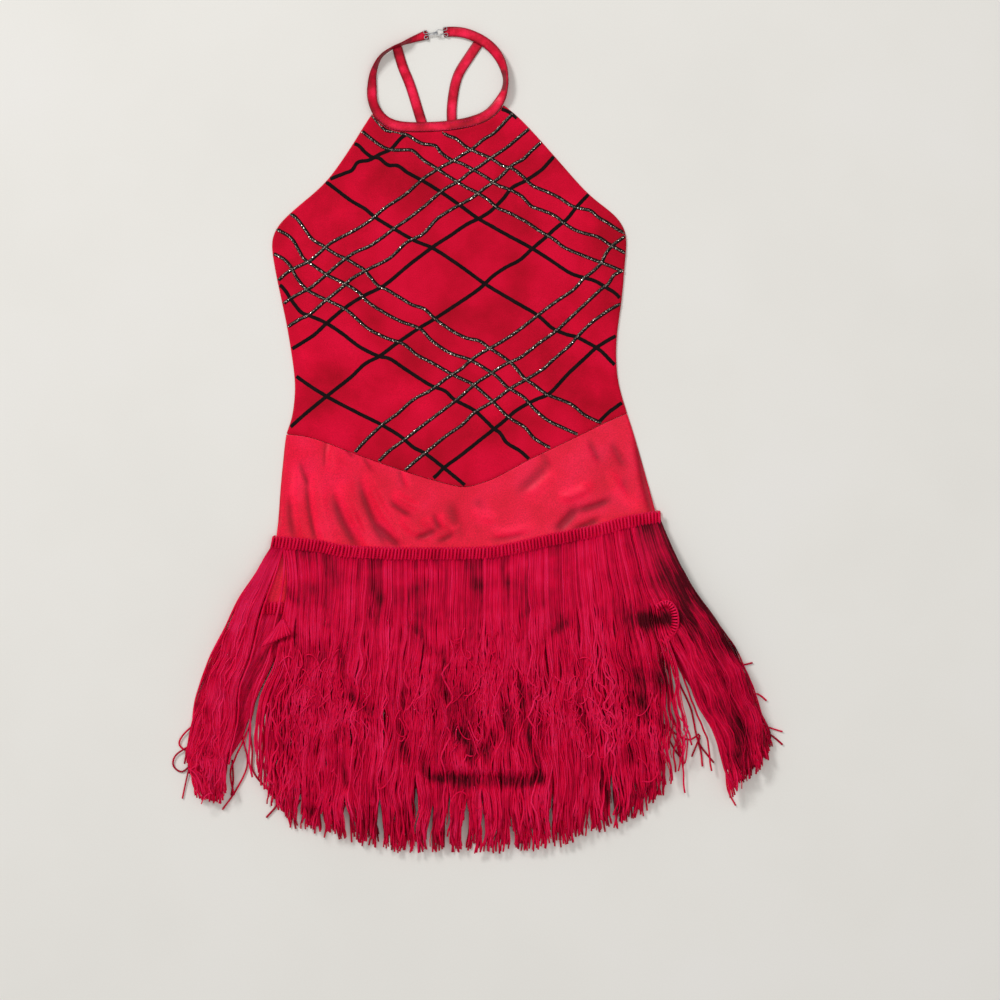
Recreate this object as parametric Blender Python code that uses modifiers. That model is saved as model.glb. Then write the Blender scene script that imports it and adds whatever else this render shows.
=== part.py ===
"""A child's halter-neck dance leotard with a two-row fringe skirt, laid flat with its front up.

Units are metres. The garment lies on the plane z = 0, +Z points up out of its front, +Y points to
the neck and +X to the right of the picture. Its origin is under the middle of its whole outline.
Every cloth panel is a sheet through its middle surface, worked out from the outline and from the
height of what lies below it, and a Solidify modifier gives it its thickness.
"""

import math
import random
from collections import namedtuple

import bmesh
import bpy
import numpy as np

# Thicknesses and clearances
CLOTH = 0.0012
BAND_CLOTH = 0.0016
BAND_WIDTH = 0.0080
BAND_CLEARANCE = 0.0001
SEAM_GAP = 0.00035
LAYER_GAP = 0.0004
RIM_RADIUS = 0.0019
RIM_TURNS_DEG = (90, 60, 30)
FRONT_LEVEL = 0.0022
BACK_LEVEL = CLOTH / 2
BACK_INSET = 0.0022
FRONT_INSET = RIM_RADIUS + CLOTH / 2

# How far the front panels stand off the back ones in the middle, and where folds fade out
PUFF_HEIGHT = 0.0026
PUFF_REACH = 0.060
FOLD_FADE_AT_EDGE = 0.012
FADE_ABOVE_HEADING = (0.006, 0.028)

# The fringe: a woven heading and locks that hang from it and get narrow at their tips
HEADING_WIDTH = 0.0088
HEADING_THICK = 0.0014
LOCK_THICK = 0.0016
TAPER_FROM = 0.7
TIP_WIDTH_SHARE = 0.55
LENGTH_SPREAD = 0.0035
SIDE_SPREAD = 0.0006
BEND_EASE = 0.36
PATH_STEPS = 240
STEPS_A_SEGMENT = 80
SHORTEST_SEGMENT = 20

# The hook and eye, in wire, with places measured along and across the bands from their middle
WIRE = 0.0008
EYE_WIRE = 0.0007
RING_RADIUS = 0.0013
RING_PLACE = 0.0082
HOOK_RING_ASIDE = 0.0021
EYE_RING_ASIDE = 0.0024
SHANK_ASIDE = 0.0006
HOOK_RISE = 0.0022
HOOK_TIP_BACK = 0.0022
BOW_RADIUS = 0.0022
BOW_PLACE = 0.0027
WIRE_ON_BAND = BAND_CLOTH + SEAM_GAP + WIRE / 2

Station = namedtuple("Station", "place x y")
BandStation = namedtuple("BandStation", "place x y tilt_deg lift")
Fold = namedtuple("Fold", "x0 y0 x1 y1 half_width height")
FringeEnd = namedtuple("FringeEnd", "share x y root_deg end_deg")
Row = namedtuple("Row", "name heading level locks lock_width ends height_at cuts seed")

# Side edges, from the neck corner down to where the leg opening starts
LEFT_EDGE = [
    Station("upper armhole", -0.0912, 0.2492),
    Station("armhole bend", -0.0984, 0.2372),
    Station("middle armhole", -0.1192, 0.2076),
    Station("lower armhole", -0.1408, 0.1884),
    Station("armhole end", -0.1568, 0.1740),
    Station("underarm", -0.1640, 0.1618),
    Station("below underarm", -0.1624, 0.1436),
    Station("ribs", -0.1576, 0.1196),
    Station("lower ribs", -0.1512, 0.0892),
    Station("above waist", -0.1472, 0.0636),
    Station("waist", -0.1448, 0.0436),
    Station("below waist", -0.1472, 0.0180),
    Station("bodice seam", -0.1520, 0.0046),
    Station("upper hip", -0.1544, -0.0156),
    Station("hip", -0.1568, -0.0404),
    Station("fringe heading", -0.1592, -0.0724),
    Station("below heading", -0.1648, -0.1044),
    Station("second heading", -0.1690, -0.1324),
    Station("leg opening", -0.1712, -0.1620),
]
RIGHT_EDGE = [
    Station("upper armhole", 0.0312, 0.2612),
    Station("armhole bend", 0.0424, 0.2500),
    Station("middle armhole", 0.0632, 0.2268),
    Station("lower armhole", 0.0904, 0.1964),
    Station("armhole end", 0.1120, 0.1796),
    Station("underarm", 0.1200, 0.1676),
    Station("below underarm", 0.1208, 0.1570),
    Station("ribs", 0.1192, 0.1400),
    Station("lower ribs", 0.1168, 0.1116),
    Station("above waist", 0.1128, 0.0836),
    Station("waist", 0.1124, 0.0600),
    Station("below waist", 0.1146, 0.0424),
    Station("bodice seam", 0.1212, 0.0210),
    Station("upper hip", 0.1278, 0.0000),
    Station("hip", 0.1392, -0.0404),
    Station("fringe heading", 0.1452, -0.0630),
    Station("below heading", 0.1536, -0.0884),
    Station("second heading", 0.1588, -0.1204),
    Station("leg opening", 0.1632, -0.1604),
]
UNDERARM, SEAM, LEG = 6, 13, 19
BACK_TOP_START = UNDERARM + 0.3
SEAM_COLUMNS = 26
BODICE_ROWS, HIP_ROWS, BACK_ROWS = 22, 20, 15

# The pointed seam between bodice and hip panel, without its two ends
POINTED_SEAM = [
    Station("left side", -0.1314, 0.0016),
    Station("left quarter", -0.0955, -0.0118),
    Station("left of point", -0.0576, -0.0252),
    Station("near point", -0.0250, -0.0350),
    Station("point", -0.0088, -0.0386),
    Station("right of point", 0.0136, -0.0316),
    Station("right quarter", 0.0416, -0.0165),
    Station("right side", 0.0822, 0.0030),
    Station("near right edge", 0.1013, 0.0126),
]

# The lower edge of the hip panel: two leg openings and the crotch between them
LEG_EDGE = [
    Station("left leg front", -0.1400, -0.1720),
    Station("left leg middle", -0.1000, -0.1930),
    Station("left leg inner", -0.0640, -0.2220),
    Station("crotch left", -0.0420, -0.2560),
    Station("crotch left corner", -0.0330, -0.2672),
    Station("crotch middle", 0.0090, -0.2690),
    Station("crotch right corner", 0.0500, -0.2672),
    Station("crotch right", 0.0600, -0.2540),
    Station("right leg inner", 0.0840, -0.2200),
    Station("right leg middle", 0.1160, -0.1920),
    Station("right leg front", 0.1440, -0.1720),
]

# The top of the back panel rises to a point where the two back straps meet it
BACK_TOP = [
    Station("left scoop", -0.1360, 0.1440),
    Station("left bottom", -0.1000, 0.1350),
    Station("left rise", -0.0640, 0.1480),
    Station("left neck", -0.0400, 0.1720),
    Station("peak left", -0.0262, 0.1906),
    Station("peak right", -0.0084, 0.1906),
    Station("right neck", 0.0040, 0.1720),
    Station("right rise", 0.0300, 0.1480),
    Station("right bottom", 0.0680, 0.1370),
    Station("right scoop", 0.1000, 0.1450),
]

# The binding, from its hook end round the left, along the neckline and up the right to its eye end
BINDING = [
    BandStation("hook end", -0.0384, 0.3244, 0, 0.0),
    BandStation("fold over", -0.0460, 0.3222, 0, 0.0),
    BandStation("upper left", -0.0576, 0.3168, 66, 0.0),
    BandStation("strap joint left", -0.0680, 0.3116, 74, 0.0004),
    BandStation("left shoulder", -0.0764, 0.3048, 62, 0.0),
    BandStation("left turn", -0.0818, 0.2940, 38, 0.0),
    BandStation("left side", -0.0834, 0.2796, 10, 0.0),
    BandStation("left corner", -0.0822, 0.2690, 26, 0.0010),
    BandStation("neck left", -0.0768, 0.2588, 6, 0.0017),
    BandStation("neck bend left", -0.0672, 0.2524, 0, 0.0017),
    BandStation("neck low left", -0.0544, 0.2502, 0, 0.0017),
    BandStation("neck middle", -0.0368, 0.2502, 0, 0.0017),
    BandStation("neck low right", -0.0192, 0.2516, 0, 0.0017),
    BandStation("neck bend right", -0.0032, 0.2548, 0, 0.0017),
    BandStation("neck right", 0.0096, 0.2604, 0, 0.0017),
    BandStation("right corner", 0.0184, 0.2700, 12, 0.0014),
    BandStation("right side", 0.0228, 0.2796, 58, 0.0003),
    BandStation("right turn", 0.0238, 0.2892, 66, 0.0),
    BandStation("right shoulder", 0.0208, 0.3012, 40, 0.0004),
    BandStation("upper right", 0.0144, 0.3116, 16, 0.0014),
    BandStation("strap joint right", 0.0048, 0.3196, 6, 0.0016),
    BandStation("right top", -0.0080, 0.3252, 12, 0.0010),
    BandStation("fold over right", -0.0190, 0.3268, 0, 0.0),
    BandStation("eye end", -0.0262, 0.3262, 0, 0.0),
]
NECK_FROM, NECK_TO = 7.55, 15.05
BINDING_STEPS = 74

# The two back straps, from under the binding down to the peak of the back panel
LEFT_STRAP = [
    Station("joint", -0.0622, 0.3108),
    Station("upper", -0.0590, 0.2990),
    Station("middle", -0.0524, 0.2830),
    Station("neckline", -0.0440, 0.2556),
    Station("under front", -0.0330, 0.2240),
    Station("peak", -0.0222, 0.1936),
]
RIGHT_STRAP = [
    Station("joint", 0.0022, 0.3180),
    Station("upper", -0.0064, 0.3052),
    Station("bend", -0.0144, 0.2924),
    Station("middle", -0.0180, 0.2780),
    Station("neckline", -0.0196, 0.2576),
    Station("under front", -0.0160, 0.2240),
    Station("peak", -0.0122, 0.1934),
]
STRAP_STEPS = 18

# The largest folds of the hip panel, as ridges that run from its seam to the fringe heading
HIP_FOLDS = [
    Fold(-0.1412, -0.006, -0.1404, -0.064, 0.0055, 0.0016),
    Fold(-0.1290, -0.012, -0.1120, -0.070, 0.0065, 0.0020),
    Fold(-0.1040, -0.020, -0.0830, -0.072, 0.0075, 0.0019),
    Fold(-0.0800, -0.028, -0.0540, -0.072, 0.0080, 0.0014),
    Fold(0.0860, -0.012, 0.0960, -0.048, 0.0090, 0.0014),
    Fold(0.0660, -0.052, 0.0420, -0.066, 0.0070, 0.0014),
    Fold(0.0020, 0.004, 0.0180, -0.020, 0.0080, 0.0012),
    Fold(0.0520, 0.100, 0.0800, 0.030, 0.0120, 0.0010),
    Fold(-0.1360, 0.150, -0.1240, 0.090, 0.0100, 0.0012),
    Fold(0.1040, 0.140, 0.0960, 0.080, 0.0100, 0.0010),
]

# Where the two rows of fringe are sewn on, front and back alike
UPPER_HEADING = [
    Station("left end", -0.1636, -0.0778),
    Station("left", -0.1280, -0.0809),
    Station("left quarter", -0.1075, -0.0848),
    Station("left middle", -0.0820, -0.0866),
    Station("middle", -0.0440, -0.0873),
    Station("right of middle", 0.0032, -0.0866),
    Station("right quarter", 0.0238, -0.0841),
    Station("right middle", 0.0558, -0.0770),
    Station("right", 0.0940, -0.0692),
    Station("near right end", 0.1195, -0.0622),
    Station("right end", 0.1474, -0.0576),
]
LOWER_HEADING = [
    Station("left end", -0.1704, -0.1304),
    Station("left", -0.1280, -0.1308),
    Station("left middle", -0.0820, -0.1332),
    Station("middle", -0.0440, -0.1340),
    Station("right of middle", 0.0032, -0.1332),
    Station("right middle", 0.0552, -0.1284),
    Station("right", 0.0944, -0.1244),
    Station("right end", 0.1600, -0.1216),
]

# The front locks sink towards the surface once they are past the leg openings, at a depth below
# the origin that is greatest in the middle and gets less to both sides
SINK_MIDDLE_X = 0.009
SINK_HALF_FLAT = 0.030
SINK_START = 0.300
SINK_SIDE_SLOPE = 0.72
SINK_LENGTH = 0.040
SINK_DEPTH = 0.0032

# The surface under the hip panels rises over the back fringe, by distance below the upper heading
HIP_RISE_AT = (-0.022, -0.008, 0.014, 0.036)
HIP_RISE_TO = (0.0, 0.0018, 0.0018, 0.0043)
# The front upper locks climb over the front lower heading, by the same distance
CLIMB_AT = (0.008, 0.038)
# The back lower locks come down where the back upper ones have ended
TAIL_AT = (-0.290, -0.306)
FLOOR_CLEARANCE = 0.0003
BACK_LOWER_LEVEL = LOCK_THICK + 0.0007
FRONT_LOWER_LEVEL = HIP_RISE_TO[-1] + FRONT_LEVEL + CLOTH / 2 + LAYER_GAP
FRONT_UPPER_LEVEL = HIP_RISE_TO[1] + FRONT_LEVEL + CLOTH / 2 + LAYER_GAP
FRONT_UPPER_TOP = FRONT_LOWER_LEVEL + LOCK_THICK + 0.0010

# Where the locks end, by share of the heading from left to right
FRONT_UPPER_ENDS = [
    FringeEnd(0.000, -0.2290, -0.2640, -30, -4),
    FringeEnd(0.060, -0.1960, -0.2860, -22, -2),
    FringeEnd(0.075, -0.1740, -0.2600, -12, 0),
    FringeEnd(0.200, -0.1170, -0.2830, -3, 0),
    FringeEnd(0.500, -0.0130, -0.2830, 0, 0),
    FringeEnd(0.800, 0.1010, -0.2720, 2, 0),
    FringeEnd(0.925, 0.1560, -0.2560, 8, 2),
    FringeEnd(0.940, 0.1880, -0.2700, 10, 8),
    FringeEnd(1.000, 0.2330, -0.2540, 14, 4),
]
FRONT_LOWER_ENDS = [
    FringeEnd(0.000, -0.2330, -0.2840, -28, 2),
    FringeEnd(0.055, -0.1990, -0.2960, -18, 4),
    FringeEnd(0.070, -0.1690, -0.2720, -8, 6),
    FringeEnd(0.130, -0.1480, -0.3060, -4, 4),
    FringeEnd(0.240, -0.0960, -0.3180, 0, 0),
    FringeEnd(0.340, -0.0620, -0.3272, 0, 0),
    FringeEnd(0.560, 0.0200, -0.3282, 0, 0),
    FringeEnd(0.700, 0.0720, -0.3224, 0, 0),
    FringeEnd(0.820, 0.1180, -0.3050, 2, 0),
    FringeEnd(0.935, 0.1560, -0.2760, 6, -2),
    FringeEnd(0.950, 0.1980, -0.2740, 18, 8),
    FringeEnd(1.000, 0.2380, -0.2500, 26, 12),
]
BACK_LOWER_ENDS = [
    FringeEnd(0.000, -0.2420, -0.2540, -26, -6),
    FringeEnd(0.060, -0.2060, -0.2980, -20, 2),
    FringeEnd(0.080, -0.1640, -0.2900, -8, 6),
    FringeEnd(0.150, -0.1420, -0.3100, -3, 2),
    FringeEnd(0.340, -0.0680, -0.3270, 0, 0),
    FringeEnd(0.600, 0.0290, -0.3270, 0, 0),
    FringeEnd(0.820, 0.1160, -0.3080, 2, 0),
    FringeEnd(0.920, 0.1500, -0.2840, 6, 0),
    FringeEnd(0.945, 0.1940, -0.2820, 18, 10),
    FringeEnd(1.000, 0.2430, -0.2420, 26, 20),
]
BACK_UPPER_ENDS = [
    FringeEnd(0.000, -0.2370, -0.2460, -30, -6),
    FringeEnd(0.070, -0.2020, -0.2700, -22, 0),
    FringeEnd(0.090, -0.1680, -0.2600, -10, 2),
    FringeEnd(0.200, -0.1180, -0.2830, -2, 0),
    FringeEnd(0.500, -0.0100, -0.2830, 0, 0),
    FringeEnd(0.800, 0.1020, -0.2740, 2, 0),
    FringeEnd(0.910, 0.1540, -0.2560, 8, 2),
    FringeEnd(0.935, 0.1900, -0.2640, 10, 8),
    FringeEnd(1.000, 0.2380, -0.2340, 14, 12),
]


def places(stations):
    """The x and y of a list of stations as an array."""
    return np.array([(s.x, s.y) for s in stations], float)


def spline(points, at):
    """Points of a Catmull-Rom curve through points, at station numbers that may be fractions."""
    points = np.asarray(points, float)
    at = np.clip(np.asarray(at, float), 0, len(points) - 1)
    first = np.minimum(at.astype(int), len(points) - 2)
    t = (at - first)[:, None]
    before = points[np.maximum(first - 1, 0)]
    here = points[first]
    there = points[first + 1]
    after = points[np.minimum(first + 2, len(points) - 1)]
    return (
        here
        + 0.5 * t * (there - before)
        + t * t * (before - 2.5 * here + 2 * there - 0.5 * after)
        + 0.5 * t ** 3 * (3 * (here - there) + after - before)
    )


def even_steps(points, start, end, count):
    """Station numbers from start to end that lie evenly along the curve."""
    fine = np.linspace(start, end, 400)
    run = np.linalg.norm(np.diff(spline(points, fine)[:, :2], axis=0), axis=1)
    length = np.concatenate([[0.0], np.cumsum(run)])
    return np.interp(np.linspace(0, length[-1], count + 1), length, fine)


def stretch(points, start, end, count):
    """The curve from one station number to another, as count even steps."""
    return spline(points, even_steps(points, start, end, count))


def side_normals(line):
    """The unit vector to the left of travel at each point of a line in plan."""
    along = np.gradient(line[:, :2], axis=0)
    along /= np.linalg.norm(along, axis=1)[:, None]
    return np.stack([-along[:, 1], along[:, 0]], axis=1)


def shifted(line, distance):
    """The line moved to the left of its travel by distance."""
    return line + side_normals(line) * distance


def beside(points, start, end, count, distance):
    """Even steps of a curve, moved to the left of its travel by distance."""
    at = even_steps(points, start, end, count)
    along = spline(points, at + 0.02) - spline(points, at - 0.02)
    along /= np.linalg.norm(along, axis=1)[:, None]
    left_of = np.stack([-along[:, 1], along[:, 0]], axis=1)
    return spline(points, at) + left_of * distance


def coons(top, bottom, left, right):
    """A grid between four edges that meet at their ends, rows from top to bottom."""
    u = np.linspace(0, 1, len(top))[None, :, None]
    v = np.linspace(0, 1, len(left))[:, None, None]
    across = (1 - u) * left[:, None] + u * right[:, None]
    down = (1 - v) * top[None] + v * bottom[None]
    corners = (
        (1 - u) * (1 - v) * top[0]
        + u * (1 - v) * top[-1]
        + (1 - u) * v * bottom[0]
        + u * v * bottom[-1]
    )
    return across + down - corners


def line_height(stations, x):
    """The y of a line that runs from left to right, at x."""
    points = places(stations)
    fine = spline(points, np.linspace(0, len(points) - 1, 200))
    return np.interp(x, fine[:, 0], fine[:, 1])


def below_upper_heading(x, y):
    """How far a point is below the top of the upper heading."""
    return line_height(UPPER_HEADING, x) - y


def hip_rise(x, y):
    """Height of what the hip panels lie on."""
    return np.interp(below_upper_heading(x, y), HIP_RISE_AT, HIP_RISE_TO)


def distance_to(x, y, line):
    """Shortest distance in plan from each point to a line."""
    gaps = np.stack([x, y], axis=-1)[..., None, :] - line
    return np.linalg.norm(gaps, axis=-1).min(axis=-1)


def smooth(share):
    """A share from 0 to 1 with soft ends."""
    share = np.clip(share, 0, 1)
    return share * share * (3 - 2 * share)


def ridge(fold, x, y):
    """Height of one fold: a soft ridge along a line that fades at both ends."""
    ax, ay = fold.x1 - fold.x0, fold.y1 - fold.y0
    length = math.hypot(ax, ay)
    along = ((x - fold.x0) * ax + (y - fold.y0) * ay) / length
    aside = ((x - fold.x0) * ay - (y - fold.y0) * ax) / length
    past = np.maximum(np.abs(along - length / 2) - length / 2, 0)
    return fold.height * np.exp(-(aside ** 2 + past ** 2) / fold.half_width ** 2)


def relief(x, y, sides):
    """How far the front panels rise off the back ones: a soft swell and the largest folds."""
    inside = distance_to(x, y, sides)
    swell = PUFF_HEIGHT * smooth(inside / PUFF_REACH)
    folds = sum(ridge(fold, x, y) for fold in HIP_FOLDS)
    near, far = FADE_ABOVE_HEADING
    clear_of_heading = smooth((-below_upper_heading(x, y) - near) / (far - near))
    return (swell + folds) * clear_of_heading * smooth(inside / FOLD_FADE_AT_EDGE)


def neckline(count):
    """The top edge of the front bodice, just outside the binding."""
    centre = stretch(places(BINDING), NECK_FROM, NECK_TO, count)
    return shifted(centre, -(BAND_WIDTH / 2 + SEAM_GAP))


def side_curves():
    """Both side edges with the neck corner as their first station."""
    neck = neckline(40)
    left = np.vstack([neck[:1], places(LEFT_EDGE)])
    right = np.vstack([neck[-1:], places(RIGHT_EDGE)])
    return left, right


def side_edges(start, end, count, inset):
    """Left and right edges between two stations, moved in from the outline by inset."""
    left, right = side_curves()
    return beside(left, start, end, count, inset), beside(right, start, end, count, -inset)


def pointed_seam(left_end, right_end):
    """The pointed seam between two given ends, with a station on its point."""
    count = SEAM_COLUMNS
    points = np.vstack([left_end[None], places(POINTED_SEAM), right_end[None]])
    tip = 1 + [s.place for s in POINTED_SEAM].index("point")
    half = count // 2
    left = stretch(points[: tip + 1], 0, tip, half)
    right = stretch(points[tip:], 0, len(points) - 1 - tip, count - half)
    return np.vstack([left, right[1:]])


def with_rims(grid, heights):
    """Adds the rolled edges to a front panel: columns that turn down to what it lies on."""
    columns = []
    for edge, sign in ((0, -1), (-1, 1)):
        line = grid[:, edge]
        out = side_normals(line) * sign
        for turn in RIM_TURNS_DEG:
            angle = math.radians(turn)
            place = line + out * RIM_RADIUS * math.sin(angle)
            height = heights[:, edge] - RIM_RADIUS * (1 - math.cos(angle))
            columns.append(np.column_stack([place, height]))
    body = np.dstack([grid, heights])
    turns = len(RIM_TURNS_DEG)
    left = np.stack(columns[:turns], axis=1)
    right = np.stack(columns[:turns - 1:-1], axis=1)
    return np.concatenate([left, body, right], axis=1)


def sheet(name, grid, thickness, material):
    """A cloth panel through a grid of points, thickened evenly on both sides."""
    rows, columns = grid.shape[:2]
    bm = bmesh.new()
    bmesh.ops.create_grid(bm, x_segments=columns - 1, y_segments=rows - 1, size=1)
    ordered = sorted(bm.verts, key=lambda v: (-round(v.co.y, 5), round(v.co.x, 5)))
    for vertex, place in zip(ordered, grid.reshape(-1, 3)):
        vertex.co = place
    mesh = bpy.data.meshes.new(name)
    bm.to_mesh(mesh)
    bm.free()
    panel = bpy.data.objects.new(name, mesh)
    garment.objects.link(panel)
    mesh.materials.append(material)
    mesh.shade_smooth()
    solid = panel.modifiers.new("Thickness", "SOLIDIFY")
    solid.thickness = thickness
    solid.offset = 0
    solid.use_even_offset = True
    solid.use_quality_normals = True


def cloth_material(name, colour, roughness, metallic=0.0):
    material = bpy.data.materials.new(name)
    material.use_nodes = True
    shader = material.node_tree.nodes["Principled BSDF"]
    shader.inputs["Base Color"].default_value = (*colour, 1)
    shader.inputs["Roughness"].default_value = roughness
    shader.inputs["Metallic"].default_value = metallic
    return material


def outline_points():
    """Both side edges as one cloud of points, for distances from the outline."""
    left, right = side_edges(0, LEG, 120, FRONT_INSET)
    return np.vstack([left, right])


def front_heights(grid, sides):
    x, y = grid[..., 0], grid[..., 1]
    return FRONT_LEVEL + hip_rise(x, y) + relief(x, y, sides)


def make_front_bodice(material):
    left, right = side_edges(0, SEAM, BODICE_ROWS, FRONT_INSET)
    top = neckline(SEAM_COLUMNS)
    top[0], top[-1] = left[0], right[0]
    bottom = pointed_seam(left[-1], right[-1])
    grid = coons(top, bottom, left, right)
    heights = front_heights(grid, outline_points())
    sheet("front_bodice", with_rims(grid, heights), CLOTH, material)


def hip_grid(inset):
    """The plan of a hip panel, from just below the pointed seam to the leg openings."""
    left, right = side_edges(SEAM, LEG, HIP_ROWS, inset)
    top = pointed_seam(left[0], right[0])
    for line in (left[:1], right[:1], top):
        line[:, 1] -= SEAM_GAP
    edge = np.vstack([left[-1:], places(LEG_EDGE), right[-1:]])
    bottom = stretch(edge, 0, len(edge) - 1, SEAM_COLUMNS)
    return coons(top, bottom, left, right)


def make_front_hip(material):
    grid = hip_grid(FRONT_INSET)
    heights = front_heights(grid, outline_points())
    sheet("front_hip", with_rims(grid, heights), CLOTH, material)


def make_back_hip(material):
    grid = hip_grid(BACK_INSET)
    heights = BACK_LEVEL + hip_rise(grid[..., 0], grid[..., 1])
    sheet("back_hip", np.dstack([grid, heights]), CLOTH, material)


def make_back_bodice(material):
    left, right = side_edges(BACK_TOP_START, SEAM, BACK_ROWS, BACK_INSET)
    edge = np.vstack([left[:1], places(BACK_TOP), right[:1]])
    top = stretch(edge, 0, len(edge) - 1, SEAM_COLUMNS)
    bottom = pointed_seam(left[-1], right[-1])
    grid = coons(top, bottom, left, right)
    heights = np.full(grid.shape[:2], BACK_LEVEL)
    sheet("back_bodice", np.dstack([grid, heights]), CLOTH, material)


def band(name, stations, tilts, lifts, steps, width, thickness, material):
    """A flat band along a curve that rests on its lower edge where it is tilted."""
    points = places(stations)
    at = even_steps(points, 0, len(points) - 1, steps)
    centre = spline(points, at)
    numbers = np.arange(len(points))
    tilt = np.radians(np.interp(at, numbers, tilts))
    lift = np.interp(at, numbers, lifts)
    height = lift + width / 2 * np.sin(tilt) + thickness / 2 * np.cos(tilt)
    aside = side_normals(centre)
    edges = []
    for sign in (1, -1):
        place = centre + aside * (sign * width / 2 * np.cos(tilt))[:, None]
        edges.append(np.column_stack([place, height - sign * width / 2 * np.sin(tilt)]))
    sheet(name, np.stack(edges, axis=1), thickness, material)


def make_binding(material):
    tilts = [s.tilt_deg for s in BINDING]
    lifts = [s.lift + BAND_CLEARANCE for s in BINDING]
    band(
        "neck_binding", BINDING, tilts, lifts, BINDING_STEPS, BAND_WIDTH, BAND_CLOTH, material
    )


def make_strap(name, stations, material):
    flat = [0] * len(stations)
    band(name, stations, flat, flat, STRAP_STEPS, BAND_WIDTH, CLOTH, material)


def wire(name, route, diameter, material):
    """A bent wire with closed ends along a route of points."""
    curve = bpy.data.curves.new(name, "CURVE")
    curve.dimensions = "3D"
    curve.bevel_depth = diameter / 2
    curve.bevel_resolution = 1
    curve.use_fill_caps = True
    line = curve.splines.new("POLY")
    line.points.add(len(route) - 1)
    for point, place in zip(line.points, route):
        point.co = (*place, 1)
    curve.materials.append(material)
    bent = bpy.data.objects.new(name, curve)
    garment.objects.link(bent)


def ring(centre_u, centre_v, start_deg, end_deg, steps=10):
    """Part of a sewing ring in the plane of the band."""
    angles = np.radians(np.linspace(start_deg, end_deg, steps))
    return [
        (centre_u + RING_RADIUS * math.cos(a), centre_v + RING_RADIUS * math.sin(a), 0.0)
        for a in angles
    ]


def fastener_frame():
    """Where the hook and eye lie: their middle, and the directions along and across the bands."""
    hook = np.array([BINDING[0].x, BINDING[0].y])
    eye = np.array([BINDING[-1].x, BINDING[-1].y])
    along = (eye - hook) / np.linalg.norm(eye - hook)
    return (hook + eye) / 2, along, np.array([-along[1], along[0]])


def on_bands(route):
    """Moves a route given along, across and above the bands to its place."""
    middle, along, across = fastener_frame()
    return [
        (*(middle + along * u + across * v), WIRE_ON_BAND + up) for u, v, up in route
    ]


def both_sides(half):
    """A route that goes out along half and comes back along its mirror image."""
    return half + [(u, -v, up) for u, v, up in reversed(half)]


def make_hook(material):
    """Two rings, a double shank and a tip that bends up and back over the eye."""
    bend = HOOK_RISE / 2
    turn = [
        (SHANK_ASIDE + bend * math.sin(a), SHANK_ASIDE, bend * (1 - math.cos(a)))
        for a in np.radians(np.linspace(20, 180, 6))
    ]
    half = ring(-RING_PLACE, HOOK_RING_ASIDE, 0, 270)
    half += [(-RING_PLACE + HOOK_TIP_BACK, SHANK_ASIDE, 0.0)]
    half += turn + [(SHANK_ASIDE - HOOK_TIP_BACK, SHANK_ASIDE, HOOK_RISE)]
    wire("neck_hook", on_bands(both_sides(half)), WIRE, material)


def make_eye(material):
    """Two rings joined by a bow that lies inside the bend of the hook."""
    half = ring(RING_PLACE, EYE_RING_ASIDE, 180, -90)
    half += [(BOW_PLACE + 1.4 * BOW_RADIUS, 0.7 * BOW_RADIUS, HOOK_RISE / 8)]
    half += [
        (BOW_PLACE - BOW_RADIUS * math.sin(a), BOW_RADIUS * math.cos(a), HOOK_RISE / 2)
        for a in np.radians(np.linspace(0, 75, 5))
    ]
    wire("neck_eye", on_bands(both_sides(half)), EYE_WIRE, material)


def past_sink_start(x, y):
    """How far a point is below the line where the front locks start to sink."""
    aside = np.maximum(np.abs(x - SINK_MIDDLE_X) - SINK_HALF_FLAT, 0)
    return -y - SINK_START + SINK_SIDE_SLOPE * aside


def sunk(x, y):
    """How far the front locks have sunk below their level over the hip panel."""
    return np.interp(past_sink_start(x, y), (0, SINK_LENGTH), (0, SINK_DEPTH))


def front_upper_height(x, y):
    climb = np.interp(
        below_upper_heading(x, y), CLIMB_AT, (FRONT_UPPER_LEVEL, FRONT_UPPER_TOP)
    )
    return climb - sunk(x, y)


def front_lower_height(x, y):
    return FRONT_LOWER_LEVEL - sunk(x, y)


def back_lower_height(x, y):
    levels = (FLOOR_CLEARANCE, BACK_LOWER_LEVEL)
    return np.interp(y, TAIL_AT[::-1], levels)


def back_upper_height(x, y):
    return np.full(np.shape(x), FLOOR_CLEARANCE)


def climb_cuts(x, y):
    """Fields whose zero lines a front upper lock bends on."""
    below = below_upper_heading(x, y)
    return [below - CLIMB_AT[1]] + sink_cuts(x, y)


def sink_cuts(x, y):
    """Fields whose zero lines a front lock bends on as it sinks."""
    below = past_sink_start(x, y)
    return [below, below - SINK_LENGTH]


def tail_cuts(x, y):
    """Fields whose zero lines a back lower lock bends on as it comes down."""
    return [TAIL_AT[0] - y, TAIL_AT[1] - y]


def no_cuts(x, y):
    """A back upper lock lies level and bends on no line."""
    return []


ROWS = [
    Row("fringe_back_upper", UPPER_HEADING, 0.0, 40, 0.0056, BACK_UPPER_ENDS,
        back_upper_height, no_cuts, 3),
    Row("fringe_back_lower", LOWER_HEADING, BACK_LOWER_LEVEL, 44, 0.0052, BACK_LOWER_ENDS,
        back_lower_height, tail_cuts, 5),
    Row("fringe_front_lower", LOWER_HEADING, FRONT_LOWER_LEVEL, 56, 0.0044, FRONT_LOWER_ENDS,
        front_lower_height, sink_cuts, 7),
    Row("fringe_front_upper", UPPER_HEADING, FRONT_UPPER_LEVEL, 60, 0.0040, FRONT_UPPER_ENDS,
        front_upper_height, climb_cuts, 11),
]


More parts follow.
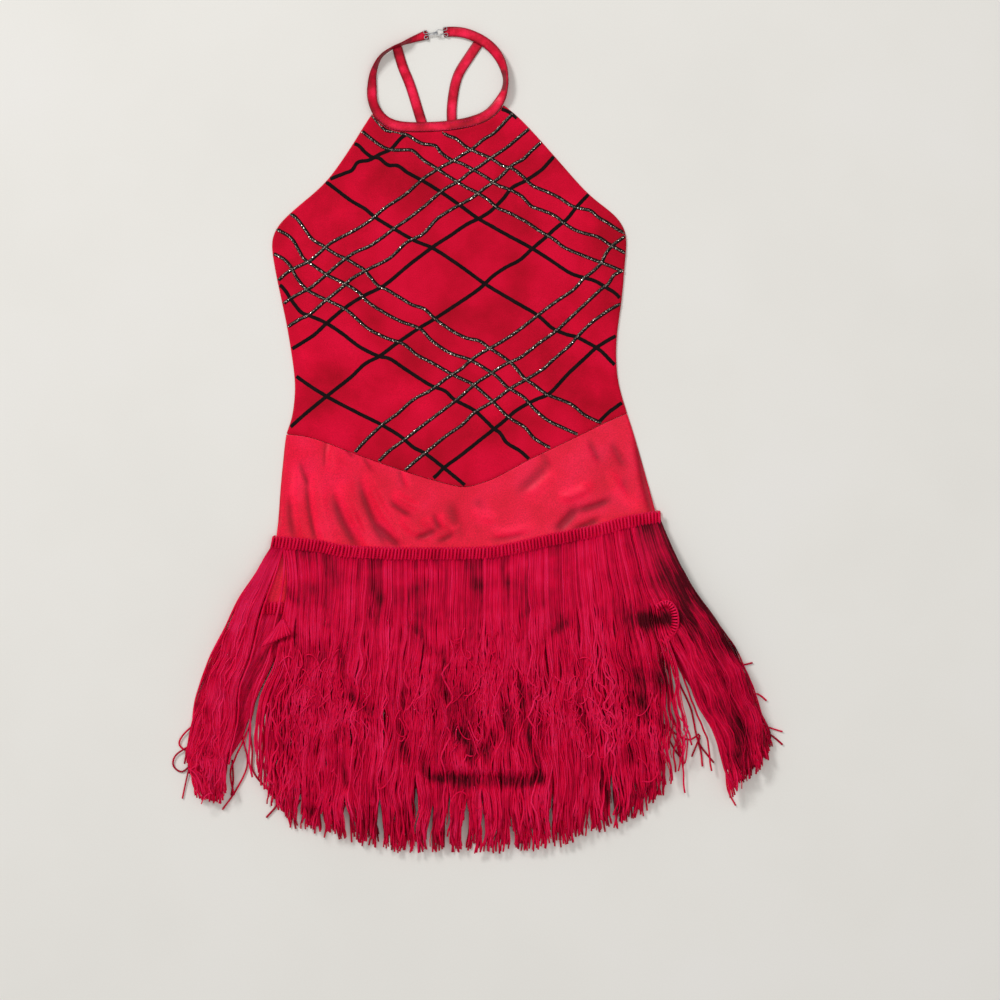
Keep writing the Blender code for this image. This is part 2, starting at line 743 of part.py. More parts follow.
def lock_path(root, share, ends, chance):
    """The plan of one lock: a smooth curve from its root to its end, both with their direction."""
    shares = [e.share for e in ends]
    x, y, root_deg, end_deg = (
        np.interp(share, shares, [getattr(e, column) for e in ends])
        for column in ("x", "y", "root_deg", "end_deg")
    )
    x += chance.uniform(-1, 1) * SIDE_SPREAD
    y += chance.uniform(-1, 1) * LENGTH_SPREAD
    end = np.array([x, y])
    reach = np.linalg.norm(end - root) * BEND_EASE
    leave, arrive = math.radians(root_deg), math.radians(end_deg)
    first = root + reach * np.array([math.sin(leave), -math.cos(leave)])
    second = end - reach * np.array([math.sin(arrive), -math.cos(arrive)])
    t = np.linspace(0, 1, PATH_STEPS + 1)[:, None]
    return (
        (1 - t) ** 3 * root
        + 3 * (1 - t) ** 2 * t * first
        + 3 * (1 - t) * t * t * second
        + t ** 3 * end
    )


def bend_points(path, cuts):
    """Which points of a lock's path it bends at: its height's corners and a few between."""
    last = PATH_STEPS - SHORTEST_SEGMENT
    chosen = {0, PATH_STEPS}
    for field in cuts(path[:, 0], path[:, 1]):
        crossed = np.nonzero((field[:-1] < 0) & (field[1:] >= 0))[0]
        chosen.update(int(np.clip(i + 1, SHORTEST_SEGMENT, last)) for i in crossed[:1])
    marks = sorted(chosen)
    for low, high in zip(marks, marks[1:]):
        pieces = max(1, round((high - low) / STEPS_A_SEGMENT))
        chosen.update(low + (high - low) * k // pieces for k in range(1, pieces))
    return sorted(chosen)[1:]


def heading_line(row):
    """The heading's top edge, with a point at both sides of each lock's root."""
    points = places(row.heading)
    steps = even_steps(points, 0, len(points) - 1, row.locks * 5)
    inner = [n for k in range(row.locks) for n in (5 * k + 1, 5 * k + 4)]
    inner[0], inner[-1] = 0, len(steps) - 1
    return spline(points, steps[inner])


def make_heading(bm, row):
    """The heading as a flat bar. Its lower side has one face under each lock and each gap."""
    line = heading_line(row)
    lower = shifted(line, -HEADING_WIDTH)
    bmesh.ops.create_grid(bm, x_segments=len(line) - 1, y_segments=1, size=1)
    ordered = sorted(bm.verts, key=lambda v: (-round(v.co.y, 5), round(v.co.x, 5)))
    for vertex, place in zip(ordered, np.vstack([line, lower])):
        vertex.co = (*place, row.level)
    raised = bmesh.ops.extrude_face_region(bm, geom=bm.faces[:])
    tops = [part for part in raised["geom"] if isinstance(part, bmesh.types.BMVert)]
    bmesh.ops.translate(bm, verts=tops, vec=(0, 0, HEADING_THICK))
    bmesh.ops.recalc_face_normals(bm, faces=bm.faces[:])
    sides = [face for face in bm.faces if abs(face.normal.z) < 0.1 and face.normal.y < -0.5]
    sides.sort(key=lambda face: face.calc_center_median().x)
    return sides[::2]


def corners(face, aside):
    """Each vertex of a lock's end face with its side, -1 or 1, and 1 if it is an upper one."""
    centre = face.calc_center_median()
    found = []
    for vertex in face.verts:
        reach = (vertex.co.x - centre.x) * aside[0] + (vertex.co.y - centre.y) * aside[1]
        found.append((vertex, 1 if reach > 0 else -1, int(vertex.co.z > centre.z)))
    return found


def grow_lock(bm, face, path, row):
    """Extrudes one lock from its face of the heading, ring by ring."""
    normals = side_normals(path)
    aside = (1.0, 0.0)
    for mark in bend_points(path, row.cuts):
        face = bmesh.ops.extrude_discrete_faces(bm, faces=[face])["faces"][0]
        ends = corners(face, aside)
        past = max(0, mark / PATH_STEPS - TAPER_FROM) / (1 - TAPER_FROM)
        width = row.lock_width * (1 - (1 - TIP_WIDTH_SHARE) * past)
        place, aside = path[mark], normals[mark]
        low = float(row.height_at(place[0], place[1]))
        for vertex, side, upper in ends:
            flat = place + aside * side * width / 2
            vertex.co = (*flat, low + upper * LOCK_THICK)


def make_fringe(row, material):
    """One row of fringe: the heading and its locks, fused into one solid."""
    chance = random.Random(row.seed)
    bm = bmesh.new()
    for number, face in enumerate(make_heading(bm, row)):
        root = np.array(face.calc_center_median()[:2])
        share = number / (row.locks - 1)
        grow_lock(bm, face, lock_path(root, share, row.ends, chance), row)
    mesh = bpy.data.meshes.new(row.name)
    bm.to_mesh(mesh)
    bm.free()
    mesh.materials.append(material)
    fringe = bpy.data.objects.new(row.name, mesh)
    garment.objects.link(fringe)


for old in list(bpy.data.objects):
    bpy.data.objects.remove(old)
garment = bpy.data.collections.new("dance_leotard")
bpy.context.scene.collection.children.link(garment)

velvet = cloth_material("bodice velvet", (0.62, 0.01, 0.04), 0.75)
satin = cloth_material("hip satin", (0.78, 0.03, 0.08), 0.38)
binding_cloth = cloth_material("binding", (0.70, 0.02, 0.07), 0.45)
cord = cloth_material("fringe cord", (0.66, 0.0, 0.06), 0.55)
steel = cloth_material("hook steel", (0.75, 0.75, 0.77), 0.25, metallic=1.0)

make_front_bodice(velvet)
make_back_bodice(velvet)
make_front_hip(satin)
make_back_hip(satin)
make_binding(binding_cloth)
make_strap("back_strap_left", LEFT_STRAP, binding_cloth)
make_strap("back_strap_right", RIGHT_STRAP, binding_cloth)
make_hook(steel)
make_eye(steel)
for fringe_row in ROWS:
    make_fringe(fringe_row, cord)
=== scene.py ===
# %% [markdown]
# A child's dance leotard lies flat on a pale table, its front up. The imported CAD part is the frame:
# it says where every panel, band and row of fringe is, in metres, and this script dresses it with
# the cloth, the print and the cords that the real one has. Each step says what the piece is, how
# it could be made, and why it is made this way.

# %% Load the frame
import math
import random

import bmesh
import bpy
import numpy as np
from mathutils import Matrix, Vector
from mathutils.bvhtree import BVHTree
from mathutils.kdtree import KDTree


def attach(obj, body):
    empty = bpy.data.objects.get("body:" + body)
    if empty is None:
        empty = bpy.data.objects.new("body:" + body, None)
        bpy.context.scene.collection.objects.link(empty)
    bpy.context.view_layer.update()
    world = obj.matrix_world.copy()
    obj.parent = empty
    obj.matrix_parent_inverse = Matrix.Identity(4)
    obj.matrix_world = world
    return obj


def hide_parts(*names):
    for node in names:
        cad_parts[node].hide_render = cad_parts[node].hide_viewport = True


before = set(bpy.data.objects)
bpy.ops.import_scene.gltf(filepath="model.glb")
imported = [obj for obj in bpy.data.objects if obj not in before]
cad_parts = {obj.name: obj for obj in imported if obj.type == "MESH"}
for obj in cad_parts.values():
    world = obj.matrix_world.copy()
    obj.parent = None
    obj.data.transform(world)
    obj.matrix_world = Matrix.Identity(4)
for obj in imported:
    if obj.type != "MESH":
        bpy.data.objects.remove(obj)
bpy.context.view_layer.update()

scene = bpy.context.scene
print("frame:", sorted(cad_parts))

# %% [markdown]
# The photograph is taken from straight above. Its pixels are 0.8 mm apart on the table, so a place
# that is read off the photograph becomes a place in metres with one small function.

# %% Places on the photograph
PIXEL = 0.0008
ORIGIN_PIXEL = (476.0, 439.5)


def plan(px, py):
    """Where a pixel of the photograph is on the table, in metres."""
    return (px - ORIGIN_PIXEL[0]) * PIXEL, (ORIGIN_PIXEL[1] - py) * PIXEL


def plans(pixels):
    """Many pixels at once, as an array of x and y."""
    return np.array([plan(*pixel) for pixel in pixels])


# %% [markdown]
# The camera looks straight down. A long lens from far off keeps the picture nearly parallel, so
# the garment isn't drawn wider where it is thicker. One soft light stands at the upper left and
# makes the folds show, and a wide weak one overhead keeps the shadows open.

# %% Camera and lights
VIEW_MIDDLE = plan(500, 500)
VIEW_WIDTH = 1000 * PIXEL
LENS, SENSOR = 100.0, 36.0
MIDDLE_HEIGHT = 0.004
camera_data = bpy.data.cameras.new("camera")
camera_data.lens = LENS
camera_data.sensor_width = SENSOR
camera = bpy.data.objects.new("camera", camera_data)
camera.location = (*VIEW_MIDDLE, VIEW_WIDTH * LENS / SENSOR + MIDDLE_HEIGHT)
scene.collection.objects.link(camera)
scene.camera = camera
scene.view_settings.view_transform = "Standard"


def studio_light(name, place, target, size, watts):
    """A square soft light at a place, turned to a target."""
    data = bpy.data.lights.new(name, "AREA")
    data.size = size
    data.energy = watts
    light = bpy.data.objects.new(name, data)
    light.location = place
    light.rotation_euler = (Vector(target) - Vector(place)).to_track_quat("-Z", "Y").to_euler()
    scene.collection.objects.link(light)


studio_light("key light", (-2.1, 2.2, 2.5), (0.0, -0.05, 0.0), 0.9, 76)
studio_light("overhead light", (0.35, -0.1, 1.7), (0.1, 0.0, 0.0), 1.2, 5)
world = bpy.data.worlds.new("studio")
scene.world = world
world.use_nodes = True
background = world.node_tree.nodes["Background"]
background.inputs["Color"].default_value = (1.0, 0.985, 0.96, 1)
background.inputs["Strength"].default_value = 0.44
print("camera height:", round(camera.location.z, 3))

# %% [markdown]
# Materials are built from nodes. Small helpers keep that readable: one turns a colour as seen on a
# screen into the linear colour that a shader needs, one makes a node with its values, and one links
# nodes by a list of which output goes to which input.
# The shared effects, mottled colour and fine grain, are node groups, so that every cloth uses the
# same ones with its own sizes.

# %% Node helpers and shared effects
def screen_colour(red, green, blue):
    """A screen colour, 0 to 255, as a linear colour."""
    channels = []
    for value in (red / 255, green / 255, blue / 255):
        low = value <= 0.04045
        channels.append(value / 12.92 if low else ((value + 0.055) / 1.055) ** 2.4)
    return (*channels, 1.0)


def add_node(tree, kind, numbered=None, **values):
    """A shader node of a kind, with properties or inputs set by name and inputs set by number."""
    node = tree.nodes.new("ShaderNode" + kind)
    for key, value in values.items():
        if hasattr(node, key):
            setattr(node, key, value)
        else:
            node.inputs[key.replace("_", " ")].default_value = value
    for number, value in (numbered or {}).items():
        node.inputs[number].default_value = value
    return node


def wire(tree, *joins):
    """Links nodes. Each join is a node, its output, the next node and its input."""
    for source, output, target, socket in joins:
        tree.links.new(source.outputs[output], target.inputs[socket])


def new_group(name, inputs, output):
    """An empty node group with sockets given as name and kind, and its two end nodes."""
    tree = bpy.data.node_groups.new(name, "ShaderNodeTree")
    for way, sockets in (("INPUT", inputs), ("OUTPUT", [output])):
        for socket, kind in sockets:
            tree.interface.new_socket(socket, in_out=way, socket_type="NodeSocket" + kind)
    return tree, tree.nodes.new("NodeGroupInput"), tree.nodes.new("NodeGroupOutput")


def new_material(name, shader_values):
    """A material, its node tree and its shader, with constant values on the shader's sockets."""
    material = bpy.data.materials.new(name)
    material.use_nodes = True
    shader = material.node_tree.nodes["Principled BSDF"]
    for key, value in shader_values.items():
        shader.inputs[key.replace("_", " ")].default_value = value
    return material, material.node_tree, shader


# The colour sockets of a Mix node
MIX_A, MIX_B, MIX_OUT = 6, 7, 2


def mottle_group():
    """Group: a colour that drifts softly between three shades."""
    tree, source, result = new_group("soft mottle", (
        ("Vector", "Vector"), ("Scale", "Float"),
        ("Dark", "Color"), ("Middle", "Color"), ("Light", "Color"),
    ), ("Color", "Color"))
    noise = add_node(tree, "TexNoise", Detail=3.0, Roughness=0.55)
    low = add_node(tree, "MapRange", From_Min=0.32, From_Max=0.52)
    high = add_node(tree, "MapRange", From_Min=0.50, From_Max=0.70)
    first, second = (add_node(tree, "Mix", data_type="RGBA") for _ in range(2))
    wire(
        tree, (source, "Vector", noise, "Vector"), (source, "Scale", noise, "Scale"),
        (noise, "Fac", low, "Value"), (noise, "Fac", high, "Value"),
        (low, "Result", first, "Factor"), (high, "Result", second, "Factor"),
        (source, "Dark", first, MIX_A), (source, "Middle", first, MIX_B),
        (first, MIX_OUT, second, MIX_A), (source, "Light", second, MIX_B),
        (second, MIX_OUT, result, "Color"),
    )
    return tree


def grain_group():
    """Group: fine fuzz, as a height."""
    tree, source, result = new_group(
        "fine grain", (("Vector", "Vector"), ("Scale", "Float")), ("Height", "Float")
    )
    fine = add_node(tree, "TexNoise", Detail=2.0, Roughness=0.6)
    wire(
        tree, (source, "Vector", fine, "Vector"), (source, "Scale", fine, "Scale"),
        (fine, "Fac", result, "Height"),
    )
    return tree


MOTTLE, GRAIN = mottle_group(), grain_group()


def cloth_finish(name, shades, patch_scale, grain_scale, speckle, bump_mm, **shader_values):
    """A cloth: mottled colour with fine speckle, a bump from its grain, and painted shade and painted
    light read from each vertex.
    """
    material, tree, shader = new_material(name, shader_values)
    dark, middle, light = (screen_colour(*shade) for shade in shades)
    where = tree.nodes.new("ShaderNodeTexCoord")
    mottle = add_node(
        tree, "Group", node_tree=MOTTLE, Scale=patch_scale,
        Dark=dark, Middle=middle, Light=light,
    )
    grain = add_node(tree, "Group", node_tree=GRAIN, Scale=grain_scale)
    level = add_node(
        tree, "MapRange", From_Min=0.3, From_Max=0.7,
        To_Min=1 - speckle, To_Max=1 + speckle,
    )
    # Painted shade from each vertex darkens crease hollows and strip rims; below zero it is painted
    # light
    painted_shading = add_node(tree, "Attribute", attribute_name="painted_shading")
    unshaded_share = add_node(tree, "Math", {0: 1.0}, operation="SUBTRACT")
    dimmed = add_node(tree, "Math", operation="MULTIPLY")
    toned = add_node(tree, "HueSaturation")
    bump = add_node(tree, "Bump", Strength=1.0, Distance=bump_mm / 1000)
    wire(
        tree, (where, "Object", mottle, "Vector"), (where, "Object", grain, "Vector"),
        (grain, "Height", level, "Value"), (painted_shading, "Fac", unshaded_share, 1),
        (level, "Result", dimmed, 0), (unshaded_share, 0, dimmed, 1), (dimmed, 0, toned, "Value"),
        (mottle, "Color", toned, "Color"), (toned, "Color", shader, "Base Color"),
        (grain, "Height", bump, "Height"), (bump, "Normal", shader, "Normal"),
    )
    return material


# %% [markdown]
# The table is a wide flat sheet of pale matt board, with nothing on it that draws the eye.

# %% Table
table_mesh = bmesh.new()
bmesh.ops.create_grid(table_mesh, x_segments=8, y_segments=8, size=2.5)
table_data = bpy.data.meshes.new("table")
table_mesh.to_mesh(table_data)
table_mesh.free()
table = bpy.data.objects.new("table", table_data)
scene.collection.objects.link(table)
table_data.materials.append(cloth_finish(
    "pale board", ((238, 236, 231), (240, 238, 233), (241, 239, 235)), 6.0, 900.0, 0.012, 0.02,
    Roughness=0.9, Specular_IOR_Level=0.2,
))

# %% [markdown]
# The bodice is stretch velvet: dull, deep red, with soft lighter and darker patches where the pile
# lies in different directions, and a pale edge glow where it turns away. The hip panels are satin:
# brighter, with a fine speckle and soft shine. The binding is the same satin, darker, and its
# colour varies more.

# %% Cloth finishes
velvet = cloth_finish(
    "red velvet", ((176, 2, 32), (206, 2, 44), (224, 6, 54)), 22.0, 1300.0, 0.18, 0.05,
    Roughness=0.85, Specular_IOR_Level=0.12, Sheen_Weight=0.2, Sheen_Roughness=0.35,
    Sheen_Tint=(1.0, 0.35, 0.4, 1),
)
satin = cloth_finish(
    "red satin", ((222, 8, 48), (238, 12, 58), (246, 22, 70)), 34.0, 950.0, 0.2, 0.035,
    Roughness=0.42, Specular_IOR_Level=0.2, Anisotropic=0.4,
)
binding_satin = cloth_finish(
    "binding satin", ((158, 0, 30), (206, 5, 46), (242, 28, 74)), 70.0, 1100.0, 0.14, 0.03,
    Roughness=0.4, Specular_IOR_Level=0.2, Anisotropic=0.3,
)

# %% [markdown]
# Each panel is cloth about a millimetre thick. The CAD already has its cut and its largest folds,
# so a copy of the CAD panel is merged, its triangles are joined back into quads, and a Subdivision
# Surface makes it smooth and fine enough to hold creases. Its real edges are kept with creases.

# %% Cloth from the CAD panels
# A crease's sideways bow and the share of its length over which each end fades
BOW, FADE = 0.04, 0.35
# The range of the painted shading, from painted light to painted shade
PAINTED_SHADING_RANGE = (-0.12, 0.55)
# A strip's rim: how much it faces up at most, how far its painted shade reaches, that shade, and the
# painted highlight of its middle
RIM_SLOPE, RIM_REACH, RIM_SHADE, MIDDLE_PAINTED_HIGHLIGHT = 0.6, 0.0020, 0.62, 0.20


def to_piece(name, bm):
    """A smooth shaded object in the scene from a finished bmesh."""
    mesh = bpy.data.meshes.new(name)
    bm.to_mesh(mesh)
    bm.free()
    mesh.shade_smooth()
    piece = bpy.data.objects.new(name, mesh)
    scene.collection.objects.link(piece)
    return piece


def put_on(piece, material, slot, *nodes):
    """Gives a piece its finish, ties it to the root, and hides the CAD nodes that it stands for."""
    piece.data.materials.clear()
    piece.data.materials.append(material)
    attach(piece, "root")
    if nodes:
        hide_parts(*nodes)
    print(piece.name, len(piece.data.polygons), "faces")
    return piece


def baked(piece):
    """The piece's mesh with its modifiers applied."""
    bpy.context.view_layer.update()
    seen = piece.evaluated_get(bpy.context.evaluated_depsgraph_get())
    return bpy.data.meshes.new_from_object(seen)


def shell(node, levels, material, slot, edge_crease=0.9):
    """A smooth fine copy of a CAD panel, which takes its place."""
    bm = bmesh.new()
    bm.from_mesh(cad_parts[node].data)
    bmesh.ops.remove_doubles(bm, verts=bm.verts[:], dist=2e-5)
    bmesh.ops.join_triangles(
        bm, faces=bm.faces[:], angle_face_threshold=math.radians(35),
        angle_shape_threshold=math.radians(60),
    )
    crease = bm.edges.layers.float.new("crease_edge")
    for edge in bm.edges:
        if edge.calc_face_angle(0.0) > math.radians(50):
            edge[crease] = edge_crease
    piece = to_piece(node + "_cloth", bm)
    smooth = piece.modifiers.new("Fine cloth", "SUBSURF")
    smooth.levels = smooth.render_levels = levels
    fine, coarse = baked(piece), piece.data
    piece.modifiers.clear()
    piece.data = fine
    bpy.data.meshes.remove(coarse)
    return put_on(piece, material, slot, node)


def soften(share):
    """A share from 0 to 1 with soft ends."""
    share = np.clip(share, 0, 1)
    return share * share * (3 - 2 * share)


def crease_height(x, y, creases):
    """How far creases lift or sink a place. Each is px, py to px, py, half width, height in mm."""
    total = np.zeros_like(x)
    for x0, y0, x1, y1, half_width, height in creases:
        start, end = plans([(x0, y0), (x1, y1)])
        run = end - start
        length = float(np.hypot(*run))
        along = ((x - start[0]) * run[0] + (y - start[1]) * run[1]) / length
        aside = ((x - start[0]) * run[1] - (y - start[1]) * run[0]) / length
        bow = BOW * length * np.sin(np.pi * np.clip(along / length, 0, 1))
        fade = soften(along / (FADE * length)) * soften((length - along) / (FADE * length))
        total += height / 1000 * fade * np.exp(-((aside - bow) / (half_width / 1000)) ** 2)
    return total


def keep_values(mesh, name, values):
    """Keeps a value for each vertex under a name that shaders read."""
    mesh.attributes.new(name, "FLOAT", "POINT").data.foreach_set("value", values)


def lay_creases(piece, creases, lowest, depth):
    """Moves both faces of a panel up or down by its creases, never under what it lies on.

    The attribute painted_shading holds painted shade, how much less light reaches the bottom of each
    crease, and a little painted light on its ridges.
    """
    mesh = piece.data
    places = np.empty(len(mesh.vertices) * 3)
    mesh.vertices.foreach_get("co", places)
    places = places.reshape(-1, 3)
    crease = crease_height(places[:, 0], places[:, 1], creases)
    moved = places[:, 2] + crease
    places[:, 2] = np.maximum(moved, np.minimum(places[:, 2], lowest))
    mesh.vertices.foreach_set("co", places.ravel())
    # Painted shade in the crease hollows, painted light on the ridges
    keep_values(mesh, "painted_shading", np.clip(-crease * depth, *PAINTED_SHADING_RANGE))
    mesh.update()


def shade_edges(piece):
    """Paints shade on a folded strip towards its edges, where it turns from the light, and a painted
    highlight along its middle.
    """
    mesh = piece.data
    rims = [vertex.co for vertex in mesh.vertices if abs(vertex.normal.z) < RIM_SLOPE]
    near = KDTree(len(rims))
    for number, place in enumerate(rims):
        near.insert(place, number)
    near.balance()
    away = np.array([near.find(vertex.co)[2] for vertex in mesh.vertices]) / RIM_REACH
    shade = RIM_SHADE * (1 - soften(away)) - MIDDLE_PAINTED_HIGHLIGHT * soften(away - 0.6)
    keep_values(mesh, "painted_shading", shade)


# %% [markdown]
# Creases on a worn garment are uneven: long soft drags from the waist, short dents over the
# tummy, small puckers along the seams. Each is written as a line on the photograph with its
# half width and its height, and both faces of the cloth move together, so it stays a thin shell.
# Their hollows also get painted shade, and their ridges a little painted light.

# %% Panels and their creases
BODICE_CREASES = [
    (300, 300, 318, 392, 7, 0.7), (330, 250, 352, 330, 9, 0.5), (596, 280, 570, 372, 8, 0.6),
    (560, 190, 604, 236, 7, 0.5), (420, 190, 470, 215, 9, -0.4), (500, 300, 560, 330, 10, -0.4),
    (380, 380, 440, 410, 8, 0.5), (470, 420, 520, 400, 8, 0.4), (356, 180, 338, 230, 7, 0.5),
]
HIP_CREASES = [
    (327, 436, 325, 472, 1.5, -0.8), (332, 440, 331, 476, 3, 0.9), (299, 458, 311, 490, 1.8, -1),
    (306, 470, 320, 556, 1.9, -1.3), (296, 462, 306, 546, 3.4, 1.5), (313, 466, 329, 556, 3.4, 1.9),
    (330, 488, 362, 556, 3.4, -1.4), (338, 478, 366, 540, 3.8, 2.2), (356, 470, 391, 556, 3, -1.3),
    (364, 470, 402, 540, 4, 2.2), (350, 500, 374, 556, 2.6, 1), (376, 522, 404, 550, 3, -1.5),
    (386, 498, 416, 519, 2.2, -1.1), (390, 490, 424, 510, 3, 1.4), (400, 516, 420, 536, 3.2, 1.3),
    (431, 512, 443, 532, 2.2, -1.1), (440, 512, 450, 530, 2.6, 1.1),
    (412, 540, 440, 527, 2.4, -1.3), (420, 524, 436, 518, 2.6, 1), (434, 543, 456, 532, 2.2, -1.1),
    (448, 530, 462, 524, 3, 0.8), (289, 492, 296, 546, 2.6, -1), (343, 444, 356, 460, 1.5, -0.9),
    (349, 441, 362, 455, 1.8, 0.6), (362, 454, 375, 474, 1.5, -0.8),
    (398, 466, 407, 492, 1.6, -0.7), (404, 468, 412, 490, 2, 0.6), (552, 534, 579, 504, 3.8, -1.6),
    (571, 512, 616, 497, 3, -1.4), (568, 531, 604, 516, 3, -1.2), (556, 500, 596, 483, 4, 1.9),
    (580, 540, 616, 524, 4, 1.5), (512, 496, 552, 458, 4.2, -0.9), (522, 500, 560, 468, 4, 1),
    (470, 506, 500, 522, 4.4, 1), (604, 466, 642, 512, 5, 1.3), (488, 534, 540, 524, 3.2, 1),
    (486, 540, 530, 532, 2.4, -0.8), (450, 498, 462, 540, 4.6, -0.8),
    (588, 436, 603, 466, 2.6, -0.8), (476, 496, 486, 520, 4, -0.7), (610, 438, 629, 472, 3.4, -0.8),
    (620, 474, 635, 508, 3.8, -0.9), (540, 448, 552, 470, 2.2, -0.6), (635, 405, 660, 540, 3, -1.3),
    (289, 425, 281, 550, 1.4, -0.5), (600, 440, 640, 530, 11, -0.22),
]
BACK_CREASES = [
    (330, 260, 352, 350, 8, 0.3), (560, 250, 548, 340, 9, 0.3), (400, 330, 470, 352, 9, 0.25),
]
# How much painted shade a crease gets for each metre of its depth
VELVET_CREASE_SHADE, SATIN_CREASE_SHADE = 170.0, 480.0
front_bodice = shell("front_bodice", 2, velvet, "velvet")
lay_creases(front_bodice, BODICE_CREASES, 0.0016, VELVET_CREASE_SHADE)
back_bodice = shell("back_bodice", 1, velvet, "velvet")
lay_creases(back_bodice, BACK_CREASES, 0.0, VELVET_CREASE_SHADE)
front_hip = shell("front_hip", 3, satin, "satin")
lay_creases(front_hip, HIP_CREASES, 0.0013, SATIN_CREASE_SHADE)
back_hip = shell("back_hip", 1, satin, "satin")


def tree_of(piece):
    """A search tree of a piece's faces, for laying things on it."""
    mesh = piece.data
    return BVHTree.FromPolygons(
        [vertex.co.copy() for vertex in mesh.vertices], [face.vertices[:] for face in mesh.polygons]
    )


LOOK_FROM, LEAST_SLOPE = 0.1, 0.2
bodice_tree = tree_of(front_bodice)


def on_top(tree, x, y):
    """The height of the cloth at a place, or None where there is none or it is steep."""
    spot, normal, _, _ = tree.ray_cast(Vector((x, y, LOOK_FROM)), Vector((0, 0, -1)))
    return None if spot is None or normal.z < LEAST_SLOPE else spot.z


# %% [markdown]
# The print is a common diagonal plaid of wavy lines: black flock, three millimetres wide, and
# lines of glitter glue on a black line of their own, a little to its left. Painting them with a
# texture would leave them flat, so each line is a thin ribbon that is laid on the cloth, point by
# point, with a slightly raised middle. The wobble of such a print isn't regular, so each line is
# charted through a few places. One family falls to the right, the other rises.

# %% Printed lines
FLOCK_LINES = [
    [(497, 108), (505, 110), (511, 113), (517, 118), (523, 123)],
    [(350, 142), (358, 145), (365, 152), (372, 157), (379, 158), (388, 165), (398, 166), (408, 173),
     (421, 180), (436, 189), (448, 197), (462, 207), (477, 218), (491, 226), (505, 234), (531, 248),
     (550, 260), (570, 273), (585, 278), (595, 281), (607, 288), (615, 293), (623, 301)],
    [(322, 179), (333, 187), (350, 200), (365, 209), (376, 218), (394, 229), (415, 241), (434, 249),
     (460, 266), (485, 284), (515, 302), (537, 315), (552, 328), (565, 334), (576, 337), (590, 344),
     (601, 351), (612, 362), (620, 370)],
    [(276, 282), (284, 289), (292, 301), (301, 312), (310, 316), (324, 322), (340, 332), (360, 347),
     (378, 356), (390, 359), (405, 369), (430, 385), (445, 391), (455, 400), (475, 411), (493, 428),
     (500, 433), (507, 443), (520, 451), (530, 460)],
    [(290, 372), (300, 379), (313, 388), (333, 400), (360, 414), (380, 424), (400, 436), (413, 447),
     (426, 454), (444, 468), (466, 486)],
    [(308, 193), (318, 186), (330, 179), (345, 173), (352, 170), (358, 162), (369, 160), (380, 154),
     (391, 149), (400, 139), (406, 135), (416, 131)],
    [(556, 154), (548, 163), (540, 171), (525, 181), (512, 188), (503, 199), (491, 211), (480, 218),
     (466, 225), (450, 236), (433, 247), (408, 266), (385, 285), (362, 297), (345, 308), (326, 324),
     (314, 335), (300, 344), (288, 351)],
    [(591, 192), (583, 200), (575, 209), (567, 219), (556, 228), (545, 238), (532, 249), (520, 260),
     (505, 268), (492, 277), (478, 290), (450, 309), (433, 320), (418, 329), (396, 344), (380, 356),
     (365, 364), (350, 378), (327, 396), (305, 414), (286, 431)],
    [(620, 334), (610, 339), (596, 348), (583, 360), (568, 374), (550, 393), (535, 400), (517, 410),
     (503, 422), (484, 437), (460, 456), (445, 467), (437, 475), (430, 481)],
    [(626, 400), (616, 407), (608, 413), (600, 421)],
]
